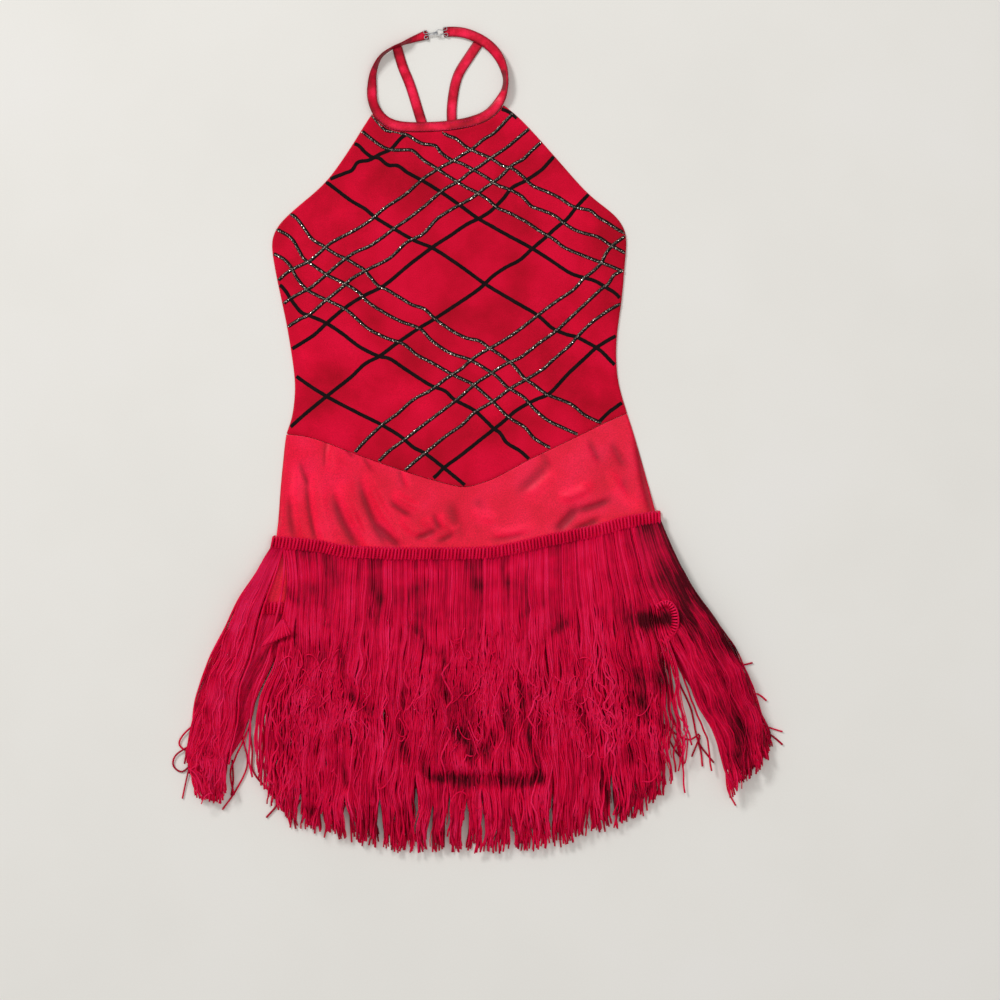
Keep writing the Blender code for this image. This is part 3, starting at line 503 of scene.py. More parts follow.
GLITTER_LINES = [
    [(441, 130), (446, 135), (456, 139), (466, 147), (478, 153), (490, 158), (503, 166), (513, 169),
     (523, 177), (533, 186), (545, 191), (558, 197), (572, 206), (584, 209), (591, 211), (598, 217),
     (608, 223), (617, 229), (628, 235)],
    [(371, 114), (384, 129), (395, 132), (407, 135), (415, 140), (423, 144), (435, 146), (441, 153),
     (451, 160), (462, 164), (475, 171), (487, 178), (497, 185), (510, 190), (521, 196), (531, 206),
     (541, 210), (555, 216), (568, 226), (580, 232), (598, 237), (609, 244), (627, 254)],
    [(360, 129), (369, 137), (383, 147), (393, 150), (405, 150), (413, 151), (423, 160), (434, 167),
     (446, 175), (457, 182), (467, 188), (477, 193), (488, 200), (497, 208), (509, 213), (526, 222),
     (541, 232), (553, 239), (565, 248), (584, 256), (597, 261), (610, 266), (625, 272)],
    [(285, 211), (295, 217), (303, 227), (312, 239), (323, 246), (335, 254), (346, 259), (356, 265),
     (365, 271), (377, 285), (387, 290), (402, 299), (412, 305), (424, 309), (435, 319), (452, 331),
     (466, 338), (479, 341), (489, 348), (500, 355), (513, 365), (524, 378), (534, 385), (546, 394),
     (561, 400), (572, 405), (583, 414), (592, 419), (602, 423)],
    [(270, 226), (280, 231), (291, 238), (298, 249), (304, 259), (314, 266), (327, 275), (345, 284),
     (358, 292), (369, 303), (388, 315), (402, 322), (420, 329), (432, 341), (450, 353), (470, 360),
     (487, 370), (497, 377), (507, 387), (523, 397), (534, 409), (547, 420), (561, 427), (581, 436)],
    [(269, 252), (282, 258), (290, 266), (296, 277), (306, 289), (320, 297), (337, 305), (349, 312),
     (367, 328), (386, 338), (403, 344), (417, 355), (434, 364), (453, 375), (472, 384), (483, 393),
     (493, 402), (508, 417), (524, 427), (535, 439), (552, 449)],
    [(517, 110), (509, 117), (495, 132), (484, 139), (472, 149), (462, 155), (453, 161), (440, 168),
     (423, 179), (406, 194), (385, 208), (372, 219), (357, 229), (336, 240), (327, 246), (311, 260),
     (301, 265), (289, 271), (277, 281)],
    [(532, 126), (520, 136), (507, 147), (491, 158), (480, 166), (469, 173), (459, 181), (442, 191),
     (426, 205), (408, 219), (395, 228), (379, 240), (368, 247), (354, 253), (340, 263), (326, 275),
     (310, 288), (300, 293), (288, 300), (278, 308)],
    [(543, 140), (531, 151), (523, 159), (511, 166), (499, 178), (485, 188), (472, 198), (454, 208),
     (437, 219), (423, 234), (406, 243), (390, 258), (371, 268), (353, 278), (339, 290), (325, 301),
     (310, 314), (298, 320), (284, 329)],
    [(628, 234), (614, 244), (606, 253), (601, 263), (592, 272), (583, 279), (573, 290), (554, 303),
     (537, 316), (519, 330), (501, 342), (483, 352), (471, 360), (461, 369), (447, 378), (431, 390),
     (413, 400), (397, 414), (382, 425), (366, 440), (354, 453)],
    [(624, 270), (614, 275), (608, 284), (600, 290), (585, 304), (570, 318), (556, 331), (538, 344),
     (521, 357), (504, 365), (487, 376), (475, 384), (459, 398), (442, 411), (422, 426), (404, 440),
     (389, 451), (378, 462)],
    [(624, 302), (609, 310), (591, 323), (577, 337), (569, 346), (554, 359), (543, 369), (527, 379),
     (511, 388), (495, 400), (474, 413), (463, 424), (446, 436), (430, 449), (413, 463), (403, 472)],
]
FLOCK_WIDTH, FLOCK_RISE = 0.0031, 0.00026
UNDER_WIDTH, UNDER_RISE = 0.0029, 0.00018
GLUE_WIDTH, GLUE_RISE = 0.0014, 0.00042
LINE_STEP, PRINT_GAP = 0.0012, 0.00004
# Section of a printed line: share of its width from the middle, share of its rise
SECTION = ((-0.5, 0.03), (-0.32, 0.8), (0.0, 1.0), (0.32, 0.8), (0.5, 0.03))


def through(points, at):
    """Points of a smooth curve through points, at station numbers that may be fractions."""
    points = np.asarray(points, float)
    at = np.clip(np.asarray(at, float), 0, len(points) - 1)
    first = np.minimum(at.astype(int), len(points) - 2)
    t = (at - first)[:, None]
    before, here = points[np.maximum(first - 1, 0)], points[first]
    there, after = points[first + 1], points[np.minimum(first + 2, len(points) - 1)]
    return (
        here + 0.5 * t * (there - before)
        + t * t * (before - 2.5 * here + 2 * there - 0.5 * after)
        + 0.5 * t ** 3 * (3 * (here - there) + after - before)
    )


def step_lengths(line):
    """The distance from each point of a line to the next."""
    return np.linalg.norm(np.diff(line, axis=0), axis=1)


def line_length(line):
    return float(step_lengths(line).sum())


def running(values):
    """Running totals of values, from zero."""
    return np.concatenate([[0], np.cumsum(values)])


def columns_at(at, known, table):
    """Every column of a table, read at places between the known ones."""
    return np.column_stack([np.interp(at, known, column) for column in table.T])


def even_line(points, shares):
    """Places on a smooth curve through points, at shares of its length."""
    fine = through(points, np.linspace(0, len(points) - 1, 600))
    run = running(step_lengths(fine))
    return columns_at(np.asarray(shares) * run[-1], run, fine)


def left_normals(line):
    """The unit vector to the left of travel at each point of a line in plan."""
    along = np.gradient(line[:, :2], axis=0)
    along /= np.linalg.norm(along, axis=1)[:, None] + 1e-12
    return np.stack([-along[:, 1], along[:, 0]], axis=1)


def lay_ribbon(bm, pixels, shift, width, rise):
    """A printed line as grids whose points are laid on the bodice, with a rounded section.

    The result is its unbroken runs, as rows of points across the line.
    """
    line = plans(pixels)
    points = even_line(line, np.linspace(0, 1, int(line_length(line) / LINE_STEP)))
    points = points + np.array([shift * PIXEL, 0])
    runs, run = [], []
    for place, side in zip(points, left_normals(points)):
        row = []
        for share, lift in SECTION:
            x, y = place - side * share * width * chance.uniform(0.92, 1.06)
            height = on_top(bodice_tree, x, y)
            if height is None:
                break
            row.append((x, y, height + PRINT_GAP + lift * rise))
        if len(row) == len(SECTION):
            run.append(row)
        elif run:
            runs.append(run)
            run = []
    runs = [run for run in runs + [run] if len(run) > 2]
    for run in runs:
        made = bmesh.ops.create_grid(
            bm, x_segments=len(run) - 1, y_segments=len(SECTION) - 1, size=1
        )
        ordered = sorted(made["verts"], key=lambda v: (round(v.co.x, 4), round(v.co.y, 4)))
        for vertex, place in zip(ordered, [p for row in run for p in row]):
            vertex.co = place
    return runs


chance = random.Random(8)
flock_lines, glue_lines = bmesh.new(), bmesh.new()
glitter_runs = []
for pixels in FLOCK_LINES:
    lay_ribbon(flock_lines, pixels, 0.0, FLOCK_WIDTH, FLOCK_RISE)
for pixels in GLITTER_LINES:
    lay_ribbon(flock_lines, pixels, 0.3, UNDER_WIDTH, UNDER_RISE)
    glitter_runs += lay_ribbon(glue_lines, pixels, -0.6, GLUE_WIDTH, GLUE_RISE)
for bm in (flock_lines, glue_lines):
    bmesh.ops.recalc_face_normals(bm, faces=bm.faces[:])
    if sum(face.normal.z for face in bm.faces) < 0:
        bmesh.ops.reverse_faces(bm, faces=bm.faces[:])
print("glitter runs:", len(glitter_runs))

# %% [markdown]
# Flock is short black fibre, dull as soot. Glitter glue is a dark grey-green bed full of small
# bright flakes. The flakes are real here: hexagons a fraction of a millimetre across that lie in
# the glue at every tilt, so that a few of them catch the light from any side.

# %% Print finishes and flakes
flock = cloth_finish(
    "black flock", ((14, 8, 10), (20, 10, 13), (30, 14, 18)), 120.0, 2400.0, 0.3, 0.08,
    Roughness=0.95, Specular_IOR_Level=0.1, Sheen_Weight=0.15,
)
glue = cloth_finish(
    "glitter glue", ((14, 10, 10), (30, 24, 22), (84, 74, 62)), 900.0, 2600.0, 0.6, 0.15,
    Roughness=0.4, Metallic=0.4,
)
flake_metal = cloth_finish(
    "silver flakes", ((150, 136, 124), (206, 194, 180), (255, 250, 240)), 700.0, 900.0, 0.1, 0.0,
    Roughness=0.3, Metallic=1.0,
)
flock_piece = put_on(to_piece("print_flock_lines", flock_lines), flock, "velvet")
glue_piece = put_on(to_piece("print_glitter_lines", glue_lines), glue, "velvet")

FLAKE_SPACING, FLAKE_REACH, FLAKE_SINK = 0.00088, 0.42, 0.0001
FLAKE_SMALLEST, FLAKE_LARGEST, FLAKE_TILT = 0.00022, 0.00042, math.radians(44)
flakes = bmesh.new()
for run in glitter_runs:
    for first, second in zip(run, run[1:]):
        length = math.dist(first[2], second[2])
        for _ in range(int(length / FLAKE_SPACING + chance.random())):
            along, across = chance.random(), chance.uniform(-FLAKE_REACH, FLAKE_REACH)
            middle = Vector(first[2]).lerp(Vector(second[2]), along)
            side = (Vector(first[4]) - Vector(first[0])) * across
            lift = GLUE_RISE * (1 - 2.2 * abs(across)) * 0.4
            place = Vector((middle.x + side.x, middle.y + side.y, middle.z - FLAKE_SINK + lift))
            tilt = Matrix.Rotation(chance.uniform(0, FLAKE_TILT), 4, "X")
            turn = Matrix.Rotation(chance.uniform(0, math.tau), 4, "Z")
            bmesh.ops.create_circle(
                flakes, cap_ends=True, segments=6,
                radius=chance.uniform(FLAKE_SMALLEST, FLAKE_LARGEST),
                matrix=Matrix.Translation(place) @ turn @ tilt,
            )
flake_piece = put_on(to_piece("print_glitter_flakes", flakes), flake_metal, "velvet")
flake_piece.data.shade_flat()

# %% [markdown]
# The halter binding and the two back straps are folded satin strips. They start from their CAD
# bands in the same way as the panels, with softer creases at the edges, so that they get the
# rounded section of a folded strip. The loop's upper left is turned on its edge, so it shows less
# of its width there, and the left strap reaches up to it.

# %% Binding and straps
binding, strap_left, strap_right = (
    shell(node, 2, binding_satin, "binding", 0.45)
    for node in ("neck_binding", "back_strap_left", "back_strap_right")
)
# Places along the turned part, with the share of the width that shows
TURNED_EDGE = (
    (371, 90, 1.0), (372, 74, 0.8), (379, 57, 0.5), (391, 48, 0.42), (403, 43, 0.46),
    (416, 38, 0.7), (428, 34, 1.0),
)
TURNED_REACH, TURNED_FROM = 0.0075, plan(0, 90)[1]
STRAP_FROM, STRAP_OVER, STRAP_LEFT, STRAP_UP = plan(0, 66)[1], 0.012, 0.0012, 0.0042
turned_places = plans([(px, py) for px, py, _ in TURNED_EDGE])
turned_run = running(step_lengths(turned_places))
turned_at = np.linspace(0, 1, 120)
turned_line = even_line(turned_places, turned_at)
turned_width = np.interp(
    turned_at, turned_run / turned_run[-1], [width for _, _, width in TURNED_EDGE]
)
for vertex in binding.data.vertices:
    away = np.hypot(*(turned_line - np.array(vertex.co[:2])).T)
    nearest = int(away.argmin())
    if away[nearest] < TURNED_REACH and vertex.co.y > TURNED_FROM:
        width = float(turned_width[nearest])
        vertex.co.xy = Vector(turned_line[nearest]).lerp(vertex.co.xy, width)
for vertex in strap_left.data.vertices:
    reach = soften((vertex.co.y - STRAP_FROM) / STRAP_OVER)
    vertex.co.x -= STRAP_LEFT * reach
    vertex.co.y += STRAP_UP * reach
# Painted shade on the rims of the binding and straps, and a painted highlight along their middles
for piece in (binding, strap_left, strap_right):
    shade_edges(piece)

# %% [markdown]
# The hook and eye are bent steel wire. Their CAD shapes are right, so they only get a better
# finish: bright drawn wire with a slightly uneven gloss.

# %% Hook and eye
steel = cloth_finish(
    "drawn steel wire", ((150, 152, 156), (196, 198, 202), (232, 234, 238)), 900.0, 2500.0, 0.08,
    0.01, Metallic=1.0, Roughness=0.24,
)
for name in ("neck_hook", "neck_eye"):
    for material_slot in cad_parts[name].material_slots:
        material_slot.material = steel

# %% [markdown]
# The skirt is two rows of chainette fringe in front and two behind. A real row is hundreds of soft
# knitted cords that loop over a stitched heading and hang down, straight at first and then wavy,
# curled and tangled. Each cord here is one curve with a round section. They share one mesh for
# each row, because thousands of separate objects would be slow. Their middle lines follow the
# same roots, ends and heights as the locks of the CAD.

# %% Fringe tables
# Upper and lower heading from left to right
UPPER_HEADING = np.array([
    (-0.1636, -0.0778), (-0.1280, -0.0809), (-0.1075, -0.0848), (-0.0820, -0.0866),
    (-0.0440, -0.0873), (0.0032, -0.0866), (0.0238, -0.0841), (0.0558, -0.0770),
    (0.0940, -0.0692), (0.1195, -0.0622), (0.1474, -0.0576),
])
LOWER_HEADING = np.array([
    (-0.1704, -0.1304), (-0.1280, -0.1308), (-0.0820, -0.1332), (-0.0440, -0.1340),
    (0.0032, -0.1332), (0.0552, -0.1284), (0.0944, -0.1244), (0.1600, -0.1216),
])
# Share of the heading, end x, end y, angle at the root and at the end
FRONT_UPPER_ENDS = [
    (0, -0.223, -0.264, -32, -4), (0.03, -0.201, -0.286, -22, -4), (0.032, -0.172, -0.276, 14, 14),
    (0.075, -0.15, -0.3, 8, 3), (0.2, -0.117, -0.316, -1, 0), (0.35, -0.062, -0.325, 0, 0),
    (0.5, -0.013, -0.326, 0, 0), (0.65, 0.045, -0.324, 0, 0), (0.8, 0.101, -0.312, 2, 0),
    (0.915, 0.15, -0.279, 10, -4), (0.9305, 0.17, -0.26, 14, 0), (0.9315, 0.204, -0.286, 9, 12),
    (1, 0.229, -0.26, 20, -4),
]
FRONT_LOWER_ENDS = [
    (0, -0.226, -0.284, -30, 4), (0.06, -0.204, -0.29, -14, -10), (0.062, -0.172, -0.272, -10, 12),
    (0.13, -0.148, -0.306, -4, 4), (0.24, -0.096, -0.318, 0, 0), (0.34, -0.062, -0.3272, 0, 0),
    (0.56, 0.02, -0.3282, 0, 0), (0.7, 0.072, -0.3224, 0, 0), (0.82, 0.118, -0.305, 2, 0),
    (0.925, 0.15, -0.279, 8, -4), (0.941, 0.168, -0.262, 16, -6), (0.943, 0.206, -0.278, 20, 10),
    (1, 0.232, -0.254, 28, 0),
]
BACK_LOWER_ENDS = [
    (0, -0.233, -0.258, -28, 2), (0.068, -0.208, -0.29, -16, -8), (0.07, -0.164, -0.29, -8, 6),
    (0.15, -0.142, -0.31, -3, 2), (0.34, -0.068, -0.327, 0, 0), (0.6, 0.029, -0.327, 0, 0),
    (0.82, 0.116, -0.308, 2, 0), (0.931, 0.15, -0.284, 6, 0), (0.933, 0.205, -0.278, 20, 10),
    (1, 0.237, -0.246, 28, 6),
]
BACK_UPPER_ENDS = [
    (0, -0.229, -0.25, -32, 0), (0.078, -0.206, -0.27, -22, -4), (0.08, -0.168, -0.26, -10, 2),
    (0.2, -0.118, -0.283, -2, 0), (0.5, -0.01, -0.283, 0, 0), (0.8, 0.102, -0.274, 2, 0),
    (0.92, 0.154, -0.256, 8, 2), (0.922, 0.201, -0.264, 10, 12), (1, 0.232, -0.24, 18, 2),
]
HEADING_WIDTH = 0.0088
fine_upper = even_line(UPPER_HEADING, np.linspace(0, 1, 200))


def sunk(x, y):
    """How far the front locks sink, past a line that rises towards both sides."""
    past = -y - 0.300 + 0.72 * np.maximum(np.abs(x - 0.009) - 0.030, 0)
    return np.interp(past, (0, 0.040), (0, 0.0032))


def front_upper_height(x, y):
    below = np.interp(x, fine_upper[:, 0], fine_upper[:, 1]) - y
    return np.interp(below, (0.008, 0.038), (0.0050, 0.0101)) - sunk(x, y)


def front_lower_height(x, y):
    return 0.0075 - sunk(x, y)


def back_lower_height(x, y):
    return np.interp(y, (-0.306, -0.290), (0.0003, 0.0023))


def back_upper_height(x, y):
    return np.full(np.shape(x), 0.0003)


print("heading length:", round(line_length(fine_upper), 4))

# %% [markdown]
# The mass of cords isn't flat. It has hollows and folds that throw the dark shapes of the real
# skirt, and under the edge of the crotch it drops, which shows as one straight dark step, from the
# drop and from a painted shadow below the edge. Each is a line on the photograph again, with its
# half width and its height. Where the cords sink they also get painted shade, because less light
# reaches the inside of a thick fringe, and where they rise they get painted light. A few deep
# hollows are kept apart from the folds, because they stay whole where the locks shift the folds.

# %% Folds of the fringe
FRINGE_FOLDS = [
    (278, 568, 301, 608, 3, -2.6), (309, 576, 323, 606, 3, -2), (332, 560, 348, 606, 3, -2.2),
    (366, 564, 393, 614, 4, -2.3), (387, 598, 393, 634, 3.2, -2.2), (397, 602, 417, 587, 3.2, -2.2),
    (408, 586, 447, 579, 3.8, -3), (440, 582, 447, 618, 3, -1.8), (464, 572, 495, 596, 5, -3),
    (498, 554, 512, 590, 3.2, -2.4), (504, 585, 536, 580, 3.4, -2.5), (524, 604, 523, 642, 3, -1.6),
    (600, 608, 613, 636, 4.4, -1.8), (406, 619, 428, 635, 4, -2.4), (423, 628, 432, 660, 4, -2.2),
    (542, 648, 555, 625, 4, -1.9), (549, 630, 575, 619, 4, -1.9), (315, 638, 321, 670, 3.6, -2.4),
    (231, 624, 236, 676, 3.6, -2.6), (205, 704, 215, 726, 5, -1.8), (203, 740, 215, 762, 4, -1.8),
    (340, 636, 352, 698, 3.6, -2.4), (342, 688, 377, 716, 4, -3), (347, 720, 337, 750, 3.6, -2.4),
    (337, 742, 355, 800, 3.6, -2.2), (274, 688, 278, 726, 4, -2), (283, 738, 291, 766, 4, -1.8),
    (405, 686, 408, 770, 3.4, -2.6), (439, 644, 453, 674, 3.8, -2.2), (439, 674, 453, 706, 4, -2.2),
    (438, 700, 436, 744, 4, -1.8), (443, 722, 477, 742, 5, -3.4), (470, 734, 474, 774, 4.6, -3),
    (476, 758, 502, 726, 5, -3.2), (499, 736, 508, 694, 3.6, -2.6), (521, 672, 526, 716, 3.2, -3.2),
    (523, 704, 541, 768, 3.4, -3.4), (511, 700, 514, 756, 3.2, -2.6),
    (537, 752, 544, 786, 3.2, -3.4), (423, 746, 430, 786, 3.8, -3.4),
    (424, 778, 466, 769, 4.2, -2.8), (440, 780, 556, 777, 4, -2.8), (541, 672, 548, 770, 3.4, -1.8),
    (580, 672, 583, 734, 4.4, -1.8), (593, 720, 600, 756, 4.4, -2.4), (597, 748, 611, 804, 4.6, -3),
    (604, 786, 626, 822, 5, -2.8), (630, 670, 654, 688, 6, -3), (641, 686, 653, 730, 5, -2.8),
    (655, 646, 673, 704, 4.6, -2.8), (646, 714, 676, 732, 5, -2.8), (625, 736, 635, 768, 4, -2),
    (373, 796, 385, 846, 5, -2.6), (297, 805, 323, 813, 4, -2.2), (406, 796, 410, 846, 4, -1.8),
    (676, 560, 700, 640, 5, -3), (668, 640, 676, 700, 4.4, -2.6), (355, 620, 362, 690, 8, 1.5),
    (350, 575, 366, 660, 9, 1.4), (395, 640, 402, 700, 7, 1.4), (468, 690, 500, 722, 7, 1.8),
    (498, 598, 512, 664, 8, 1.5), (560, 650, 571, 740, 8, 1.5), (298, 650, 316, 760, 8, 1.5),
    (612, 640, 622, 720, 7, 1.4), (420, 759, 552, 765, 4.6, 2.4), (540, 556, 552, 612, 7, 1.2),
    (450, 590, 464, 650, 8, 1.4), (256, 590, 224, 690, 6, 1.6), (700, 630, 716, 690, 6, 1.3),
    (340, 780, 360, 830, 7, 1.4), (524, 786, 532, 846, 8, 1.5), (574, 776, 580, 830, 8, 1.3),
    (420, 560, 432, 576, 7, 1.2), (590, 560, 596, 600, 7, 1.1), (300, 560, 306, 590, 5, 1.2),
    (486, 788, 494, 840, 6, 1.2), (252, 700, 258, 770, 5, 1.2), (384, 720, 390, 790, 6, 1.2),
    (528, 566, 552, 610, 9, -0.9), (640, 560, 652, 606, 8, -1), (600, 566, 606, 600, 6, -0.8),
    (432, 600, 436, 640, 6, -0.8),
]
# Deep hollows are mostly painted shade that also sinks the cords; the widest darken broad parts of
# the skirt
DEEP_HOLLOWS = [
    (304, 632, 268, 646, 2.6, -2.8), (278, 640, 256, 666, 2.6, -3), (261, 655, 247, 700, 2.6, -2.6),
    (618, 621, 690, 612, 7.2, -5), (630, 617, 672, 621, 5.6, -1.8), (640, 636, 650, 738, 18, -1.2),
    (472, 690, 462, 764, 18, -1.2), (736, 690, 754, 790, 9, -2.4), (200, 586, 740, 574, 22, -0.8),
]
# Middle and size of the tangled places
TANGLED = [
    (322, 684, 30), (300, 720, 26), (478, 676, 34), (468, 736, 26), (590, 706, 38), (640, 720, 26),
    (358, 716, 24), (205, 766, 24), (286, 770, 26), (420, 704, 20), (540, 700, 20), (676, 740, 24),
]
FRINGE_LIFT = 0.0024


def crotch_edge(x, y):
    """Under the edge of the crotch: how far past it a place is, and how deep in its shade."""
    left, right, edge = plan(428, 0)[0], plan(547, 0)[0], plan(0, 771)[1]
    inside = soften((x - left) / 0.004) * soften((right - x) / 0.004)
    past = soften((edge - y) / 0.0025)
    return inside * past, inside * past * soften((y - edge + 0.0125) / 0.005)


def tangle_share(x, y):
    """How tangled the cords are at a place, from 0 to 1."""
    total = np.zeros_like(x)
    for px, py, size in TANGLED:
        at_x, at_y = plan(px, py)
        total += np.exp(-((x - at_x) ** 2 + (y - at_y) ** 2) / (size * PIXEL) ** 2)
    return np.minimum(total, 1)


# %% [markdown]
# A cord's route starts as the smooth middle line of its lock. Cords hang in locks that end in
# clumps with narrow gaps between them, so all cords of one clump sway together, in every row, and
# draw together at their ends. On top of that each lock of a few cords has its own slow wave and
# its own height, and each cord a small one. A few loose cords lie on top and wander more.

# %% Cord routes
def any_phase(chance):
    return chance.uniform(0, 6.28)


# Shares of a heading's length, and of a cord's, at which its line is kept
FINE_SHARES = np.linspace(0, 1, 400)
CORD_STEPS = np.concatenate([np.linspace(0, 0.20, 5)[:-1], np.linspace(0.20, 1, 41)])
ROOT_UNDER_HEADING, CLEARANCE = 0.0006, 0.0001
FREE_FROM, FREE_OVER = 0.010, 0.115
CLUMP_EDGES = np.array([plan(px, 0)[0] for px in (
    170, 248, 300, 324, 347, 380, 416, 431, 448, 466, 482, 511, 552, 590, 612, 637, 674, 800,
)])
CLUMP_GAP, SIDE_PULL, CLUMP_FROM, CLUMP_OVER = 0.0046, 0.12, 0.272, 0.040
wave_chance = random.Random(21)
CLUMP_WAVES = [
    (wave_chance.uniform(0.0008, 0.0016), wave_chance.uniform(0.055, 0.100), any_phase(wave_chance))
    for _ in CLUMP_EDGES
]
# The two waves of a single cord: size, shortest, longest, and how much a tangle adds
CORD_WAVES = ((0.00030, 0.030, 0.055, 3.0), (0.00012, 0.012, 0.022, 3.5))
LOOSE_WAVES, LOOSE_RISE, FLICK = 3.5, 0.0011, 0.0024
LOCK_RISE, RIM_DROP = 0.0019, 0.0006
CORD_SHADES = (-0.12, -0.06, 0, 0, 0.05, 0.16)
ROOT_FADE, FLECK = 0.004, 0.09
# What each thing adds to a cord's shade: by the metre for fold, deep and ridge, else in full.
# All of it is painted light and shade: painted shade at the rims of locks, in folds and deep
# hollows, at the roots under the heading and in the shadow under the crotch edge; painted light
# on ridges and on the loose cords and tangles that lie on top; both with the ripple of a lock.
SHADE_OF = dict(
    rim=-0.10, fold=112, deep=104, ridge=44, ripple=0.12, loose=0.14, root=-0.20, tangled=0.06,
    crotch=-0.28,
)


def lock_line(root, share, ends):
    """The smooth middle line from a root on the heading to its end."""
    columns = list(zip(*ends))
    x, y, root_deg, end_deg = (np.interp(share, columns[0], column) for column in columns[1:])
    end = np.array([x, y])
    reach = np.linalg.norm(end - root) * 0.36
    leave, arrive = math.radians(root_deg), math.radians(end_deg)
    first = root + reach * np.array([math.sin(leave), -math.cos(leave)])
    second = end - reach * np.array([math.sin(arrive), -math.cos(arrive)])
    t = CORD_STEPS[:, None]
    return (
        (1 - t) ** 3 * root + 3 * (1 - t) ** 2 * t * first
        + 3 * (1 - t) * t * t * second + t ** 3 * end
    )


def clump_moves(line):
    """How a clump draws a cord to its middle, and its slow wave, at each point of the cord."""
    end_x = line[-1, 0]
    clump = int(np.clip(np.searchsorted(CLUMP_EDGES, end_x), 1, len(CLUMP_EDGES) - 1))
    left, right = CLUMP_EDGES[clump - 1], CLUMP_EDGES[clump]
    inner = 0 < clump - 1 < len(CLUMP_EDGES) - 2
    drawn = ((left + right) / 2 - end_x) * (CLUMP_GAP / (right - left) if inner else SIDE_PULL)
    size, wave, phase = CLUMP_WAVES[clump]
    return (
        drawn * soften((-line[:, 1] - CLUMP_FROM) / CLUMP_OVER),
        size * np.sin(math.tau * line[:, 1] / wave + phase),
    )


def cord_route(row, share, lock, loose, chance):
    """One cord of a row as points with their height, and the shade at each point."""
    root = columns_at([share], FINE_SHARES, row["fine"])[0]
    root[1] -= HEADING_WIDTH - ROOT_UNDER_HEADING
    line = lock_line(root, share, row["ends"])
    length = float(np.linalg.norm(line[-1] - line[0]))
    down = CORD_STEPS * length
    free = soften((down - FREE_FROM) / FREE_OVER)
    side = left_normals(line)
    along = np.column_stack([side[:, 1], -side[:, 0]])
    line = line + along * (length * chance.uniform(*row["spread"]) * CORD_STEPS)[:, None]
    drawn, shift = clump_moves(line)
    line[:, 0] += drawn
    shift += lock["size"] * np.sin(math.tau * line[:, 1] / lock["wave"] + lock["phase"])
    tangled = tangle_share(line[:, 0], line[:, 1])
    for size, low, high, knot in CORD_WAVES:
        amount = size * chance.uniform(0.3, 1.4) * (LOOSE_WAVES if loose else 1)
        amount = amount * (1 + knot * tangled)
        shift += amount * np.sin(math.tau * down / chance.uniform(low, high) + any_phase(chance))
    line = line + side * (shift * (0.3 + 0.7 * free))[:, None]
    flick = chance.uniform(-1, 1) * FLICK * soften((CORD_STEPS - 0.90) / 0.10) ** 2
    line = line + side * flick[:, None]

    x, y = line[:, 0], line[:, 1]
    fold = crease_height(x, y + lock["slip"], FRINGE_FOLDS) * lock["gain"]
    deep = crease_height(x, y, DEEP_HOLLOWS)
    # Past the crotch edge the cords drop, and shaded is the depth of the painted shadow under it
    past, shaded = crotch_edge(x, y)
    ripple = 0.5 + 0.5 * np.sin(math.tau * y / lock["ripple"] + lock["phase"] * 3)
    rim = min(abs(2 * (share - lock["start"]) / (lock["end"] - lock["start"]) - 1), 1) ** 2
    layer = (lock["layer"] * (0.3 + 0.7 * ripple) * LOCK_RISE - RIM_DROP * rim) * free
    layer = np.maximum(layer, 0) + chance.uniform(0, 0.0005)
    mass = np.maximum(row["lift"] * free + (fold + deep) * row["follow"], 0) * (1 - past)
    height = row["height"](x, y) + row["radius"] + CLEARANCE
    height = height + layer + mass + LOOSE_RISE * loose * free

    amounts = dict(
        rim=rim, fold=np.minimum(fold, 0), deep=deep, ridge=np.maximum(fold, 0),
        ripple=(ripple - 0.5) * free, loose=loose, root=np.exp(-down / ROOT_FADE),
        tangled=tangled, crotch=shaded,
    )
    shade = row["tone"] + lock["shade"] + chance.choice(CORD_SHADES)
    # Painted light and shade from the cord's place in the mass
    shade = shade + sum(SHADE_OF[key] * amount for key, amount in amounts.items())
    # Random flecks along the cord: painted highlights and shade for the light its crimp catches
    shade = shade + np.array([chance.uniform(-FLECK, FLECK) for _ in CORD_STEPS])
    return np.column_stack([line, height]), shade


def yarn(name, routes, radius):
    """Round cords along routes, as one mesh. Each route is points, thickness and shade."""
    curve = bpy.data.curves.new(name, "CURVE")
    curve.dimensions = "3D"
    curve.bevel_depth = radius
    curve.bevel_resolution = 0
    for points, thickness, _ in routes:
        spline = curve.splines.new("POLY")
        spline.points.add(len(points) - 1)
        spline.points.foreach_set("co", np.column_stack([points, np.ones(len(points))]).ravel())
        spline.points.foreach_set("radius", np.full(len(points), thickness))
    holder = bpy.data.objects.new(name, curve)
    scene.collection.objects.link(holder)
    mesh = baked(holder)
    bpy.data.objects.remove(holder)
    ring = len(mesh.vertices) // sum(len(points) for points, _, _ in routes)
    shades = [np.broadcast_to(shade, len(points)) for points, _, shade in routes]
    runs = [running(step_lengths(points)) for points, _, _ in routes]
    for key, values in (("shade", shades), ("run", runs)):
        keep_values(mesh, key, np.repeat(np.concatenate(values), ring))
    bm = bmesh.new()
    bm.from_mesh(mesh)
    bmesh.ops.holes_fill(bm, edges=[edge for edge in bm.edges if edge.is_boundary], sides=ring)
    triangles = sum(len(face.verts) - 2 for face in bm.faces)
    print(name, len(routes), "cords,", triangles, "triangles")
    return to_piece(name, bm)


# %% [markdown]
# The cord itself is a fine knitted chain of shiny viscose. Its colour comes from a shade value
# that each cord carries, darker and lighter by turns: partly random tone of cord and lock, partly
# painted light and shade from where it lies in the mass. The chain shows as a small bump along the
# cord, which reads the distance along it that is kept in the mesh.

# %% Cord finish
CHAIN_LENGTH = 0.0011


